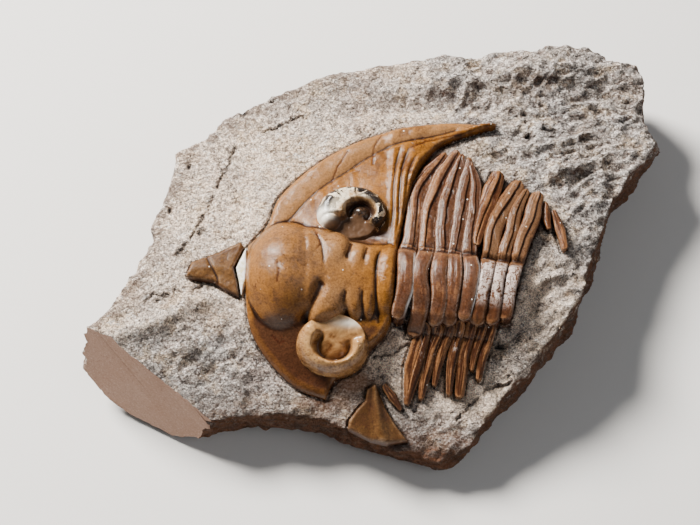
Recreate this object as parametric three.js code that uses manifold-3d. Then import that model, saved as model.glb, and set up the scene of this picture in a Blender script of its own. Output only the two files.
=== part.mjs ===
// A spiny-cheeked trilobite in its limestone slab, at real size.
// Millimetres, +Z up. The slab rests on the plane z = 0, with the origin under the middle of its outline.
// The animal lies back up along X, its head towards -X, so its right side is towards +Y and its left side
// towards -Y, where the bedding falls away and the shell is broken.
//
// Every plate of the shell is the space between two height fields, cut to the plate's outline:
// below it the limestone mould, a little clear of it, and above it the moulded relief of the animal.
import * as THREE from "three";
import { mergeVertices } from "three/addons/utils/BufferGeometryUtils.js";
import Module from "manifold-3d";

const wasm = await Module();
wasm.setup();

// ---------------------------------------------------------------- driving dimensions
const BED_Z = 19.3; // bedding surface beside the head
const GAP = 0.3; // clearance between any two pieces
const CEILING_Z = 40; // above everything, for cutting blocks

const AXIS_Y = -9.4; // mid-line of the animal where x = 0
const AXIS_SLOPE = 0.1; // how far the mid-line swings towards -Y for each mm of x

const LOBE = { x: -16.1, y: -7.9, rx: 7.4, ry: 9.9, height: 7.4 }; // swollen front of the head
// Each eye is a crescent of lenses round a sunken middle, open towards the mid-line.
const RIGHT_EYE = { x: -4.8, y: 2.9, rx: 6.0, ry: 5.0, from: 205, to: -35 };
const LEFT_EYE = { x: -8.0, y: -20.9, rx: 6.1, ry: 4.7, from: 385, to: 155 };
const LENS_BAND = { width: 3.4, height: 3.6, inset: 1.9 }; // how wide, how high, how far inside the outline

// Raised mid-rib of head and thorax: x, half width, height above the bedding.
const RIB = [
  [-12, 8.6, 6.2],
  [-8, 8.0, 6.0],
  [-5, 6.6, 5.6],
  [-2, 5.9, 5.3],
  [2, 6.2, 5.4],
  [5, 6.6, 5.3],
  [14, 6.4, 5.2],
  [20, 5.2, 4.4],
  [26, 4.2, 3.4],
];

// ---------------------------------------------------------------- colours
const LIMESTONE = new THREE.MeshStandardMaterial({ color: 0xb9b0a6, roughness: 0.95, metalness: 0 });
const SHELL = new THREE.MeshStandardMaterial({ color: 0x8a5a30, roughness: 0.38, metalness: 0 });
const EYE = new THREE.MeshStandardMaterial({ color: 0xb9a184, roughness: 0.45, metalness: 0 });
const FILLER = new THREE.MeshStandardMaterial({ color: 0xd9d2bd, roughness: 0.8, metalness: 0 });

// ---------------------------------------------------------------- small maths
const clamp01 = (t) => Math.min(1, Math.max(0, t));
const smooth = (t) => clamp01(t) ** 2 * (3 - 2 * clamp01(t));
const mix = (a, b, t) => a + (b - a) * t;
const softplus = (t, width) => width * Math.log1p(Math.exp(t / width));
const bump = (dx, dy, rx, ry) => Math.exp(-((dx / rx) ** 2) - (dy / ry) ** 2);
const axisY = (x) => AXIS_Y - AXIS_SLOPE * x;

// A column of a table, read between its rows by the value in column 0.
function along(table, column, x) {
  const next = table.findIndex((row) => row[0] > x);
  if (next === 0) return table[0][column];
  if (next < 0) return table.at(-1)[column];
  const [a, b] = [table[next - 1], table[next]];
  return mix(a[column], b[column], (x - a[0]) / (b[0] - a[0]));
}

// Grid lines from a to b, about step apart.
function lines(a, b, step) {
  const n = Math.max(1, Math.round(Math.abs(b - a) / step));
  return Array.from({ length: n + 1 }, (_, i) => mix(a, b, i / n));
}

// ---------------------------------------------------------------- height fields
// The bedding surface: level behind, falling away in front of a brow and towards the far right.
function bed(x, y) {
  const browY = -12 - 0.45 * Math.max(0, -30 - x);
  const fallInFront = 0.47 * softplus(browY - y, 2.5);
  const fallToRight = 0.24 * softplus(x - 30, 3);
  const shoulder = 1.6 * bump(x - 28, y - 34, 12, 6);
  const trough = bump(x - 12, y - 25, 16, 3);
  return BED_Z - fallInFront - fallToRight + shoulder - trough;
}

// Cheeks and side plates: highest beside the mid-rib, thin at their tips.
function flank(v) {
  const reach = v > 0 ? 26 : 14;
  return mix(2.4, 1.0, smooth((Math.abs(v) - 6) / reach));
}

// The animal's height above the bedding, without its eyes.
function relief(x, y) {
  const v = y - axisY(x);
  let height = flank(v);
  const halfWidth = along(RIB, 1, x);
  if (x > LOBE.x && Math.abs(v) < halfWidth) {
    height += (along(RIB, 2, x) - height) * Math.sqrt(1 - (v / halfWidth) ** 2);
  }
  const r = Math.hypot((x - LOBE.x) / LOBE.rx, (y - LOBE.y) / LOBE.ry);
  return r < 1 ? Math.max(height, LOBE.height * Math.sqrt(1 - r * r)) : height;
}

// The limestone's top: the bedding, with the mould that fills the animal from below.
function limestoneTop(x, y) {
  const underBody = smooth((x + 25) / 3) * (1 - smooth((x - 25) / 3));
  return bed(x, y) + underBody * Math.max(0, 0.75 * relief(x, y) - 1);
}

const surface = (lift) => (x, y) => bed(x, y) + relief(x, y) + lift;
const cheek = (x, y) => bed(x, y) + flank(y - axisY(x));
const rolledEdge = (x, y) => cheek(x, y) + 0.6;
const veneer = (thickness) => (x, y) => bed(x, y) + thickness;

// ---------------------------------------------------------------- solids
function toSolid(geometry) {
  const bare = new THREE.BufferGeometry().setAttribute("position", geometry.getAttribute("position"));
  if (geometry.index) bare.setIndex(geometry.index);
  const merged = mergeVertices(bare, 1e-4);
  const mesh = new wasm.Mesh({
    numProp: 3,
    vertProperties: merged.attributes.position.array,
    triVerts: new Uint32Array(merged.index.array),
  });
  return new wasm.Manifold(mesh);
}

function toGeometry(solid) {
  const { vertProperties, triVerts } = solid.getMesh();
  const geometry = new THREE.BufferGeometry();
  geometry.setAttribute("position", new THREE.BufferAttribute(vertProperties.slice(), 3));
  geometry.setIndex(new THREE.BufferAttribute(triVerts.slice(), 1));
  return geometry.toNonIndexed();
}

// The closed block between two height fields, on the grid of xs and ys.
function block(xs, ys, low, high) {
  const positions = [];
  for (const height of [low, high]) {
    for (const y of ys) for (const x of xs) positions.push(x, y, height(x, y));
  }
  const [nx, ny] = [xs.length, ys.length];
  const faces = [];
  const quad = (a, b, c, d) => faces.push(a, b, c, a, c, d);
  const at = (i, j, layer) => (layer * ny + j) * nx + i;
  for (let j = 0; j < ny - 1; j++) {
    for (let i = 0; i < nx - 1; i++) {
      quad(at(i, j, 1), at(i + 1, j, 1), at(i + 1, j + 1, 1), at(i, j + 1, 1));
      quad(at(i, j, 0), at(i, j + 1, 0), at(i + 1, j + 1, 0), at(i + 1, j, 0));
    }
  }
  for (let i = 0; i < nx - 1; i++) {
    quad(at(i, 0, 0), at(i + 1, 0, 0), at(i + 1, 0, 1), at(i, 0, 1));
    quad(at(i + 1, ny - 1, 0), at(i, ny - 1, 0), at(i, ny - 1, 1), at(i + 1, ny - 1, 1));
  }
  for (let j = 0; j < ny - 1; j++) {
    quad(at(0, j + 1, 0), at(0, j, 0), at(0, j, 1), at(0, j + 1, 1));
    quad(at(nx - 1, j, 0), at(nx - 1, j + 1, 0), at(nx - 1, j + 1, 1), at(nx - 1, j, 1));
  }
  const geometry = new THREE.BufferGeometry();
  geometry.setAttribute("position", new THREE.Float32BufferAttribute(positions, 3));
  geometry.setIndex(faces);
  return toSolid(geometry);
}

// The upright prism on a closed outline of [x, y] points, through everything.
function prism(outline) {
  const shape = new THREE.Shape(outline.map(([x, y]) => new THREE.Vector2(x, y)));
  const geometry = new THREE.ExtrudeGeometry(shape, { depth: CEILING_Z, bevelEnabled: false });
  return toSolid(geometry);
}

// The closed solid through rings of equally many points; caps lists the triangles that close a ring.
function skin(rings, caps) {
  const count = rings[0].length;
  const faces = [];
  for (let k = 0; k < rings.length - 1; k++) {
    for (let i = 0; i < count; i++) {
      const [a, b] = [k * count + i, k * count + ((i + 1) % count)];
      faces.push(a, b, b + count, a, b + count, a + count);
    }
  }
  const last = (rings.length - 1) * count;
  for (const [a, b, c] of caps) faces.push(c, b, a, last + a, last + b, last + c);
  const geometry = new THREE.BufferGeometry();
  geometry.setAttribute("position", new THREE.Float32BufferAttribute(rings.flat(2), 3));
  geometry.setIndex(faces);
  return toSolid(geometry);
}

const throughPoints = (route) =>
  new THREE.CatmullRomCurve3(route.map(([x, y]) => new THREE.Vector3(x, y, 0)));

// The solid swept along a route of [x, y] points. At each share t of the way, section(t, x, y) lists
// [offset to the right, z] from left to right over its top; its foot is at z = 0.
function sweep(route, stations, section) {
  const curve = throughPoints(route);
  const rings = lines(0, 1, 1 / stations).map((t) => {
    const [p, d] = [curve.getPointAt(t), curve.getTangentAt(t)];
    const top = section(t, p.x, p.y);
    const ring = [[top[0][0], 0], ...top, [top.at(-1)[0], 0]];
    return ring.map(([w, z]) => [p.x + d.y * w, p.y - d.x * w, z]);
  });
  const fan = lines(1, rings[0].length - 2, 1).map((i) => [0, i, i + 1]);
  return skin(rings, fan);
}

// A value from a list spread evenly over 0 to 1.
function spread(list, t) {
  const i = Math.min(Math.floor(t * (list.length - 1)), list.length - 2);
  return mix(list[i], list[i + 1], t * (list.length - 1) - i);
}

// A rounded bar along a route: half widths spread along it, its crest at the height field top, and a
// furrow along its crest that comes in after the share plain of its length.
function bar({ route, widths }, top, stations = 13, plain = 2) {
  return sweep(route, stations, (t, x, y) => {
    const w = spread(widths, t);
    const furrow = 0.4 * w * smooth((t - plain) * 6);
    const crest = top(x, y);
    const foot = crest - 0.55 * w;
    return [[-w, foot], [-0.55 * w, crest], [0, crest - furrow], [0.55 * w, crest], [w, foot]];
  });
}

// An ellipsoid round [x, y] on the bedding.
function dome({ x, y, rx, ry, height }, lift = 0) {
  const geometry = new THREE.SphereGeometry(1, 16, 8);
  geometry.rotateX(Math.PI / 2);
  geometry.scale(rx, ry, height);
  geometry.translate(x, y, bed(x, y) + lift);
  return toSolid(geometry);
}

const union = (solids) => solids.reduce((all, solid) => all.add(solid));
const largest = (solid) => solid.decompose().reduce((a, b) => (b.volume() > a.volume() ? b : a));

// ---------------------------------------------------------------- the limestone slab
// Its outline where it is widest, counterclockwise from the front left.
const SLAB_OUTLINE = [
  [-52, -31], [-43, -36], [-34, -33], [-22, -30.6], [-10.1, -31.7], [-4.9, -33.9], [3.1, -36.4],
  [11.1, -38.2], [14.5, -36.6], [20.6, -29.4], [26.2, -24.2], [34.4, -13.4], [36.3, -8.5], [39.9, 1.1],
  [42.4, 8.5], [46.7, 13.6], [51.4, 20.2], [49.4, 26], [49.3, 31], [48, 36.1], [43, 36.6], [40.7, 37.8],
  [34.8, 38.1], [28.6, 36.1], [25.7, 36.7], [15.9, 35], [9.7, 35.2], [-0.5, 33.6], [-11.6, 30.9],
  [-20.8, 26.3], [-27.4, 22.9], [-31.5, 18.7], [-36.4, 16.1], [-38.4, 7], [-40.4, 2], [-40.2, -1.2],
  [-42.5, -6.3], [-48, -14.7], [-52.2, -19],
];
// How far the flank stands out at each height, as a share of that outline: the slab is undercut all round.
const FLANK = [[0, 0.8], [3.5, 0.94], [7.5, 1.0], [CEILING_Z, 0.96]];
// The sawn end at the front left: a flat cut that leans out towards its foot.
const SAW_NORMAL = new THREE.Vector3(-0.418, -0.842, 0.337).normalize();
const SAW_OFFSET = 42.1; // distance of the cut's plane from the origin
const BLADE = 160; // size of the block that the cut takes away

// Grid lines of the limestone's top, closer together under the animal. Every plate's underside
// uses the same lines, so that it follows the limestone exactly.
const GRID_X = [...lines(-56, -28, 5), ...lines(-25, 26, 3), ...lines(31, 54, 5.8)];
const GRID_Y = [...lines(-40, -33, 3.5), ...lines(-29.5, 21.5, 3), ...lines(26, 40, 7)];

function limestoneSlab() {
  const rings = FLANK.map(([z, share]) => SLAB_OUTLINE.map(([x, y]) => [x * share, y * share, z]));
  const caps = THREE.ShapeUtils.triangulateShape(SLAB_OUTLINE.map(([x, y]) => new THREE.Vector2(x, y)), []);
  const blade = new THREE.BoxGeometry(BLADE, BLADE, BLADE);
  blade.applyQuaternion(new THREE.Quaternion().setFromUnitVectors(new THREE.Vector3(0, 0, 1), SAW_NORMAL));
  const centre = SAW_NORMAL.clone().multiplyScalar(SAW_OFFSET + BLADE / 2);
  blade.translate(centre.x, centre.y, centre.z);
  const underTop = block(GRID_X, GRID_Y, () => -1, limestoneTop);
  return skin(rings, caps).intersect(underTop).subtract(toSolid(blade));
}

// ---------------------------------------------------------------- plates of the shell
// Everything above the limestone's surface, less the clearance.
const aboveLimestone = block(GRID_X, GRID_Y, (x, y) => limestoneTop(x, y) + GAP, () => CEILING_Z);

// One plate: inside the outline, over the limestone and under its own top, which is gridded at step.
function plate(outline, top, step) {
  const [xs, ys] = [outline.map((p) => p[0]), outline.map((p) => p[1])];
  const gridX = lines(Math.min(...xs) - 1, Math.max(...xs) + 1, step);
  const gridY = lines(Math.min(...ys) - 1, Math.max(...ys) + 1, step);
  return prism(outline).intersect(block(gridX, gridY, () => -1, top)).intersect(aboveLimestone);
}

const aboveMould = (solid) => solid.intersect(aboveLimestone);

const ellipse = (eye, grow) =>
  lines(0, 2 * Math.PI, Math.PI / 13)
    .slice(0, -1)
    .map((a) => [eye.x + (eye.rx + grow) * Math.cos(a), eye.y + (eye.ry + grow) * Math.sin(a)]);

// A bar's outline, grown all round.
function strip({ route, widths }, grow) {
  const curve = throughPoints(route);
  const side = (sign) =>
    lines(0, 1, 1 / 13).map((t) => {
      const [p, d] = [curve.getPointAt(t), curve.getTangentAt(t)];
      const w = sign * (spread(widths, t) + grow);
      const past = t === 0 ? -grow : t === 1 ? grow : 0;
      return [p.x + d.y * w + d.x * past, p.y - d.x * w + d.y * past];
    });
  return [...side(1), ...side(-1).reverse()];
}
const clearOf = (piece) => prism(strip(piece, GAP));

// Eight thoracic segments, each from its ring's left end over its crown (three points) and out along the
// right side plate to its tip, with the half widths at those seven places.
const SEGMENTS = [
  {
    route: [[3.5, -16.3], [4.1, -10.5], [4.6, -4], [5.7, 2.1], [6.6, 6.8], [8.9, 11], [11.6, 14.6]],
    widths: [1.1, 1.2, 1.15, 1.1, 1.1, 0.9, 0.3],
  },
  {
    route: [[6.3, -17], [6.7, -10.5], [7.4, -4], [8.4, 2.1], [9.7, 6.8], [11.4, 10.3], [14, 15]],
    widths: [1.1, 1.2, 1.15, 1.2, 1.2, 1.2, 0.5],
  },
  {
    route: [[9.1, -17.2], [9.3, -10.5], [10.1, -4], [11.4, 2.6], [12.5, 6.8], [13.6, 10.2], [14.8, 14.2]],
    widths: [1.1, 1.15, 1.0, 1.1, 1.0, 0.9, 0.3],
  },
  {
    route: [[11.8, -16.8], [11.9, -10.5], [12.5, -4], [13.9, 2.1], [15, 6.8], [15.5, 10.2], [15.6, 13.6]],
    widths: [1.1, 1.25, 1.0, 1.0, 1.0, 0.9, 0.3],
  },
  {
    route: [[14.3, -16.4], [14.6, -10.5], [14.9, -4.5], [16.1, 1.6], [16.9, 6], [17.1, 9.4], [16.7, 12.5]],
    widths: [1.0, 1.2, 1.0, 0.9, 0.8, 0.8, 0.3],
  },
  {
    route: [[16.9, -16.2], [17.6, -11], [18.5, -6.6], [19.3, -3.4], [20.6, 1.2], [22.4, 5.1], [24.9, 9.2]],
    widths: [0.8, 1.0, 1.0, 1.0, 1.2, 1.3, 0.9],
  },
  {
    route: [[19.2, -16.2], [19.9, -11], [20.8, -7.6], [21.5, -4.5], [22.9, -0.5], [24.5, 3.9], [26, 7.6]],
    widths: [0.9, 0.95, 0.9, 0.8, 0.75, 0.75, 0.4],
  },
  {
    route: [[21.4, -15.3], [22.2, -11.4], [22.9, -8.8], [23.6, -6], [25, -1.6], [26.6, 3.1], [27.9, 7.2]],
    widths: [0.9, 1.0, 1.0, 0.9, 1.1, 1.1, 0.8],
  },
];

// A right side plate whose ring is lost, between segments five and six.
const LONE_PLATE = {
  route: [[16.7, -3.2], [17.8, 1.4], [19.1, 5.6], [20.5, 9.9], [21, 11.2]],
  widths: [0.5, 0.9, 1.25, 1.2, 0.8],
};

// The left side plates, broken off along the mid-rib and slumped down the slope: route and half widths.
const LEFT_PLATES = [
  { route: [[0.9, -26.2], [2.1, -27.6], [3.6, -29.8]], widths: [0.3, 0.55, 0.2] },
  { route: [[7, -19.4], [5.2, -24.5], [4.6, -28.9]], widths: [0.9, 0.95, 0.3] },
  { route: [[9.4, -18.9], [7.8, -23.7], [7, -28.1]], widths: [0.8, 0.8, 0.3] },
  { route: [[11.8, -18.4], [10.3, -21.9], [9.4, -25.9]], widths: [0.7, 0.6, 0.3] },
  { route: [[13.6, -18], [12.3, -22.1], [11.9, -27.4]], widths: [0.6, 0.6, 0.4] },
  { route: [[15.4, -18], [14.2, -22.1], [13.7, -27.8]], widths: [0.7, 0.75, 0.6] },
  { route: [[17.2, -18], [16.1, -20.6], [15.6, -23.7]], widths: [0.6, 0.6, 0.3] },
  { route: [[19, -18.1], [17.8, -21.1], [17.1, -25.1]], widths: [0.6, 0.6, 0.4] },
];

const LOOSE_TIPS = [
  { route: [[29.1, 5.6], [29.2, 3.2], [29.9, 0.6]], widths: [0.5, 0.8, 0.3] },
  { route: [[30.6, 4.2], [31.6, 0.8], [32.3, -3.1]], widths: [0.3, 0.8, 0.5] },
];

// Lobes and rings of the head's mid-rib behind its swollen front, and the rolled edge of the right cheek.
const REAR_LOBES = [
  {
    route: [[-9.6, -17], [-9, -14.5], [-7.6, -9.5], [-7.2, -5], [-7, -1.6]],
    widths: [1.6, 2.4, 1.2, 2, 1.8],
  },
  { route: [[-4.8, -16], [-4.3, -10], [-3.6, -4.2]], widths: [1.0, 1.2, 1.2] },
  { route: [[-2.4, -15.8], [-2.1, -10], [-1.2, -4.9]], widths: [0.75, 0.7, 0.75] },
  { route: [[0.3, -16], [1, -10], [1.4, -4.6]], widths: [1.3, 1.45, 1.3] },
];
const CHEEK_ROLL = {
  route: [
    [-21.9, -1.6], [-18.9, 2.4], [-16.6, 6.1], [-12.9, 10.1], [-7.6, 14], [2.3, 18.3], [12, 20.1],
    [18.6, 20.1],
  ],
  widths: [0.6, 1.2, 1.3, 1.4, 1.4, 1.3, 1.1, 0.4],
};

// The head shield: right cheek with its long spine, back edge, and the broken left cheek.
function headShield() {
  const points = (list) => list.map(([x, y]) => new THREE.Vector2(x, y));
  const shape = new THREE.Shape();
  shape.moveTo(-22.6, -3);
  shape.splineThru(points([
    [-19.9, 0.5], [-17.9, 6.2], [-14, 10.6], [-8.4, 15], [1.9, 19.5], [12.2, 21.2], [21.2, 20.5],
  ]));
  shape.splineThru(points([[15.1, 18.6], [10.3, 16.2], [8, 13.4], [6.2, 9.6], [4.1, 2.1], [3, -3.6]]));
  shape.lineTo(2.7, -10);
  shape.lineTo(1.8, -16.4);
  shape.splineThru(points([[0.8, -18.6], [-3.4, -22.6], [-5.9, -25.5], [-9.5, -28.1]]));
  shape.splineThru(points([[-13.7, -26.8], [-18.9, -22.6], [-22.1, -18], [-23.3, -9.4], [-22.6, -3]]));
  const outline = shape.extractPoints(5).shape.map((p) => [p.x, p.y]);
  const midRib = sweep([[-14, -8], [-6, -8.8], [2.3, -9.6]], 4, (_, x, y) => {
    const [halfWidth, height] = [along(RIB, 1, x), along(RIB, 2, x) - 2.9];
    return lines(-1, 1, 0.25).map((u) => [u * halfWidth, cheek(x, y) + height * Math.sqrt(1 - u * u)]);
  });
  const lobes = REAR_LOBES.map((lobe) => bar(lobe, surface(0.1), 5));
  const shield = union([
    plate(outline, cheek, 3),
    aboveMould(union([dome(LOBE, 0.6), midRib, ...lobes, bar(CHEEK_ROLL, rolledEdge, 9)])),
  ]);
  const sockets = [RIGHT_EYE, LEFT_EYE].map((eye) => prism(ellipse(eye, GAP)));
  return largest([...sockets, clearOf(SEGMENTS[0])].reduce((solid, cut) => solid.subtract(cut), shield));
}

// One eye: a low base, the crescent of lenses and the sunken lobe it surrounds.
function eye(place) {
  const { x, y, rx, ry, from, to } = place;
  const base = surface(0);
  const arc = lines(from, to, 20).map((degrees) => {
    const a = THREE.MathUtils.degToRad(degrees);
    return [x + (rx - LENS_BAND.inset) * Math.cos(a), y + (ry - LENS_BAND.inset) * Math.sin(a)];
  });
  const w = LENS_BAND.width / 2;
  const crescent = { route: arc, widths: [0.6 * w, w, w, w, 0.6 * w] };
  const band = bar(crescent, veneer(2.4 + LENS_BAND.height), 9);
  const middle = dome({ x, y, rx: rx * 0.5, ry: ry * 0.5, height: 4 }, 0.4);
  const rise = aboveMould(band.add(middle)).intersect(prism(ellipse(place, 0)));
  return plate(ellipse(place, 0), base, 2).add(rise);
}

// The tongue in front of the head, broken off and set back in place, and the filler in the break.
const TONGUE = [
  [-33.6, -8.3], [-32.2, -8.8], [-28.8, -9.3], [-27, -10.6], [-24.4, -11.8], [-24.9, -8.8], [-25.4, -6.7],
  [-23.7, -2.9], [-24.2, -1.9], [-28, -3.9], [-32.7, -5.7],
];
const BREAK_FILLER = [
  [-23.3, -2.9], [-25, -6.7], [-24.5, -8.8], [-24, -11.6], [-23.7, -9.2], [-23.4, -6],
];
// A stray piece of shell at the slab's front edge, ridged along its middle.
const STRAY = [
  [-0.7, -25.9], [-2.3, -26.6], [-2.6, -28.4], [-4, -29.8], [-5.4, -31.5], [-5.6, -32.9], [-4, -33.7],
  [-1.6, -34.8], [1.2, -35.4], [4.8, -34.8], [2.9, -32.5], [1.2, -30], [0, -27.6],
];

function strayTop(x, y) {
  const ridge = Math.exp(-(((x + 0.4 + 0.1 * (y + 30)) / 1.1) ** 2));
  return bed(x, y) + 1.3 + 0.7 * ridge;
}

// ---------------------------------------------------------------- assembly
const group = new THREE.Group();

function add(name, solid, material) {
  const mesh = new THREE.Mesh(toGeometry(solid), material);
  mesh.name = name;
  group.add(mesh);
}

add("limestone_slab", limestoneSlab(), LIMESTONE);
add("head_shield", headShield(), SHELL);
add("right_eye", eye(RIGHT_EYE), EYE);
add("left_eye", eye(LEFT_EYE), EYE);
add("head_tongue", plate(TONGUE.toReversed(), veneer(1.5), 3), SHELL);
add("break_filler", plate(BREAK_FILLER.toReversed(), veneer(1.2), 2), FILLER);
add("stray_shell_piece", plate(STRAY, strayTop, 1.4), SHELL);

// A row of bars, each cut clear of the one before it and of everything in clear.
function addRow(name, pieces, clear, shape) {
  pieces.forEach((piece, i) => {
    const cuts = i > 0 ? [...clear, clearOf(pieces[i - 1])] : clear;
    const solid = cuts.reduce((rest, cut) => rest.subtract(cut), aboveMould(shape(piece)));
    add(`${name}_${i + 1}`, largest(solid), SHELL);
  });
}

const segmentClearance = SEGMENTS.map(clearOf);
const loneBar = bar(LONE_PLATE, surface(0.5), 6, 0.1);
const lone = segmentClearance.reduce((rest, cut) => rest.subtract(cut), loneBar);
add("lone_side_plate", largest(aboveMould(lone)), SHELL);
addRow("thoracic_segment", SEGMENTS, [], (piece) => bar(piece, surface(0.5), 10, 0.5));
addRow("left_side_plate", LEFT_PLATES, segmentClearance, (piece) => bar(piece, surface(0), 5, 0.3));
addRow("loose_plate_tip", LOOSE_TIPS, segmentClearance, (piece) => bar(piece, veneer(1.6), 5));

export default group;
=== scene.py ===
"""A spiny-cheeked trilobite lying back up on its limestone slab.

Laid out as an add-on and run as a script. Lengths in the tables are millimetres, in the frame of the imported
solids: +Z up, the animal's head towards -X and its right side towards +Y.
"""

import math

import bpy
import numpy as np
from bpy.props import FloatProperty, FloatVectorProperty, PointerProperty
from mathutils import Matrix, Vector, noise


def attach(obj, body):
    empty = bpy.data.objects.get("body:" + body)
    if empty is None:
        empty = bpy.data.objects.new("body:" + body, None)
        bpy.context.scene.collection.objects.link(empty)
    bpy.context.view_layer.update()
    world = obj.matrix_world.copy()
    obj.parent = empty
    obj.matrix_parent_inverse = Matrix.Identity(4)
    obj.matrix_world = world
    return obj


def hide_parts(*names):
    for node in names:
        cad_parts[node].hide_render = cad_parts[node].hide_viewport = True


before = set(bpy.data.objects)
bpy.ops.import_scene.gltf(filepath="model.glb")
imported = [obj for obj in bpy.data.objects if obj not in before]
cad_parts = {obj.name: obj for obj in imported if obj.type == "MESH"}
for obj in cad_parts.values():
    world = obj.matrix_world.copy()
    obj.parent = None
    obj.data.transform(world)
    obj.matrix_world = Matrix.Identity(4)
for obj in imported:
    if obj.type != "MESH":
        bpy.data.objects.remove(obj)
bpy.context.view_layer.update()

bl_info = {
    "name": "Trilobite Specimen",
    "version": (1, 0, 0),
    "blender": (4, 5, 0),
    "location": "3D View > Sidebar > Trilobite",
    "description": "Models a trilobite fossil on its limestone slab",
    "category": "Object",
}

MM = 0.001

# ---- the animal and the bedding, as in the solids
BED_Z = 19.3
AXIS_Y, AXIS_SLOPE = -9.4, 0.1
LOBE_X, LOBE_Y, LOBE_RX, LOBE_RY, LOBE_HEIGHT = -16.1, -7.9, 7.4, 9.9, 7.4
RIB_X = [-12, -8, -5, -2, 2, 5, 14, 20, 26]
RIB_HALF = [8.6, 8.0, 6.6, 5.9, 6.2, 6.6, 6.4, 5.2, 4.2]
RIB_TOP = [6.2, 6.0, 5.6, 5.3, 5.4, 5.3, 5.2, 4.4, 3.4]

SLAB_OUTLINE = [
    (-52, -31), (-43, -36), (-34, -33), (-22, -30.6), (-10.1, -31.7), (-4.9, -33.9), (3.1, -36.4),
    (11.1, -38.2), (14.5, -36.6), (20.6, -29.4), (26.2, -24.2), (34.4, -13.4), (36.3, -8.5), (39.9, 1.1),
    (42.4, 8.5), (46.7, 13.6), (51.4, 20.2), (49.4, 26), (49.3, 31), (48, 36.1), (43, 36.6), (40.7, 37.8),
    (34.8, 38.1), (28.6, 36.1), (25.7, 36.7), (15.9, 35), (9.7, 35.2), (-0.5, 33.6), (-11.6, 30.9),
    (-20.8, 26.3), (-27.4, 22.9), (-31.5, 18.7), (-36.4, 16.1), (-38.4, 7), (-40.4, 2), (-40.2, -1.2),
    (-42.5, -6.3), (-48, -14.7), (-52.2, -19),
]
SLAB_FLANK = [(0, 0.8), (3.5, 0.94), (7.5, 1.0), (20, 0.985)]
SAW_NORMAL = Vector((-0.418, -0.842, 0.337)).normalized()
SAW_OFFSET = 42.1

# Right cheek's outer edge from the front to the tip of its spine, the back edge, and the left cheek.
CHEEK_EDGE = [
    (-23, -2.6), (-19.9, 0.9), (-17.9, 6.2), (-14, 10.6), (-8.4, 15), (1.9, 19.5), (12.2, 21.2), (21.3, 20.6),
]
BACK_EDGE = [(21.3, 20.4), (15.1, 18.6), (10.3, 16.2), (8, 13.4), (6.2, 9.6), (4.3, 2.1), (3.2, -3.6)]
LEFT_BREAK = [
    (2.8, -10), (1.8, -16.4), (0.6, -18.6), (-1.6, -20.6), (-3.6, -23.4), (-7.4, -25.0), (-8.5, -26.2),
    (-9.1, -27.9),
]
LEFT_EDGE = [(-9.5, -28.1), (-13.7, -26.8), (-18.9, -22.6), (-22.1, -18), (-23.3, -9.4), (-23, -3.2)]
BORDER_FURROW = [
    (-20.5, -2.5), (-18.2, -0.6), (-14.4, 3.6), (-12.4, 6), (-9.9, 8.3), (-6, 11), (-3.2, 13.1), (2.5, 16.3),
    (8.8, 17.9), (13.5, 19.2),
]
EYES = {  # centre, half sizes, height, and how far its foot stands above the bedding
    "right_eye": (-4.8, 2.6, 6.2, 4.9, 3.2, 2.2),
    "left_eye": (-8.2, -20.2, 6.3, 4.8, 3.2, 2.1),
}

# Each plate is a route along its middle, and its half width at even steps along that route.
SEGMENTS = [
    ([(2.9, -16.6), (4.2, -11.5), (4.5, -7), (4.9, -3), (6, 2.6), (6.8, 6.8), (9.2, 11), (12, 14.8)],
     [1.2, 1.45, 1.55, 1.4, 1.35, 1.6, 1.65, 0.6]),
    ([(5.7, -18.8), (6.9, -14), (6.8, -9.5), (7.8, -5), (8.5, 1.4), (9.7, 6), (11.5, 10.5), (14.2, 15.3)],
     [1.4, 1.6, 1.6, 1.45, 1.4, 1.8, 1.8, 0.8]),
    ([(9, -17.6), (9.9, -13), (10, -9), (10.6, -4.6), (11.3, 1.6), (12.5, 6.8), (13.6, 10.4), (14.9, 14.6)],
     [1.45, 1.55, 1.5, 1.45, 1.5, 1.65, 1.5, 0.5]),
    ([(11.6, -17.6), (12.4, -13.4), (12.7, -9), (13, -4.6), (13.8, 1.6), (14.9, 6.6), (15.5, 10.2),
      (15.5, 14)],
     [1.3, 1.35, 1.4, 1.3, 1.25, 1.45, 1.3, 0.45]),
    ([(14.1, -17), (15, -13), (15.5, -9), (15.4, -5), (16.1, 1.2), (16.9, 6), (16.9, 9.4), (16.1, 13)],
     [1.3, 1.45, 1.5, 1.4, 1.15, 1.1, 1.0, 0.4]),
    ([(16.5, -17.6), (17.6, -11), (18.5, -6.6), (19.3, -3.4), (20.6, 1.2), (22.4, 5.1), (24.9, 9.3)],
     [1.5, 1.4, 1.35, 1.4, 1.6, 1.75, 1.3]),
    ([(18.8, -17.5), (19.9, -11), (20.8, -7.6), (21.5, -4.5), (22.9, -0.5), (24.5, 3.9), (26, 7.7)],
     [1.35, 1.25, 1.2, 1.15, 1.2, 1.15, 0.6]),
    ([(21, -16.6), (22.2, -11.4), (22.9, -8.8), (23.6, -6), (25, -1.6), (26.6, 3.1), (27.9, 7.3)],
     [1.3, 1.25, 1.2, 1.25, 1.45, 1.5, 1.1]),
]
LONE_PLATE = ([(16.7, -3.2), (17.8, 1.4), (19.1, 5.6), (20.5, 9.9), (21, 11.3)], [0.6, 1.15, 1.6, 1.6, 1.2])
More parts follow.
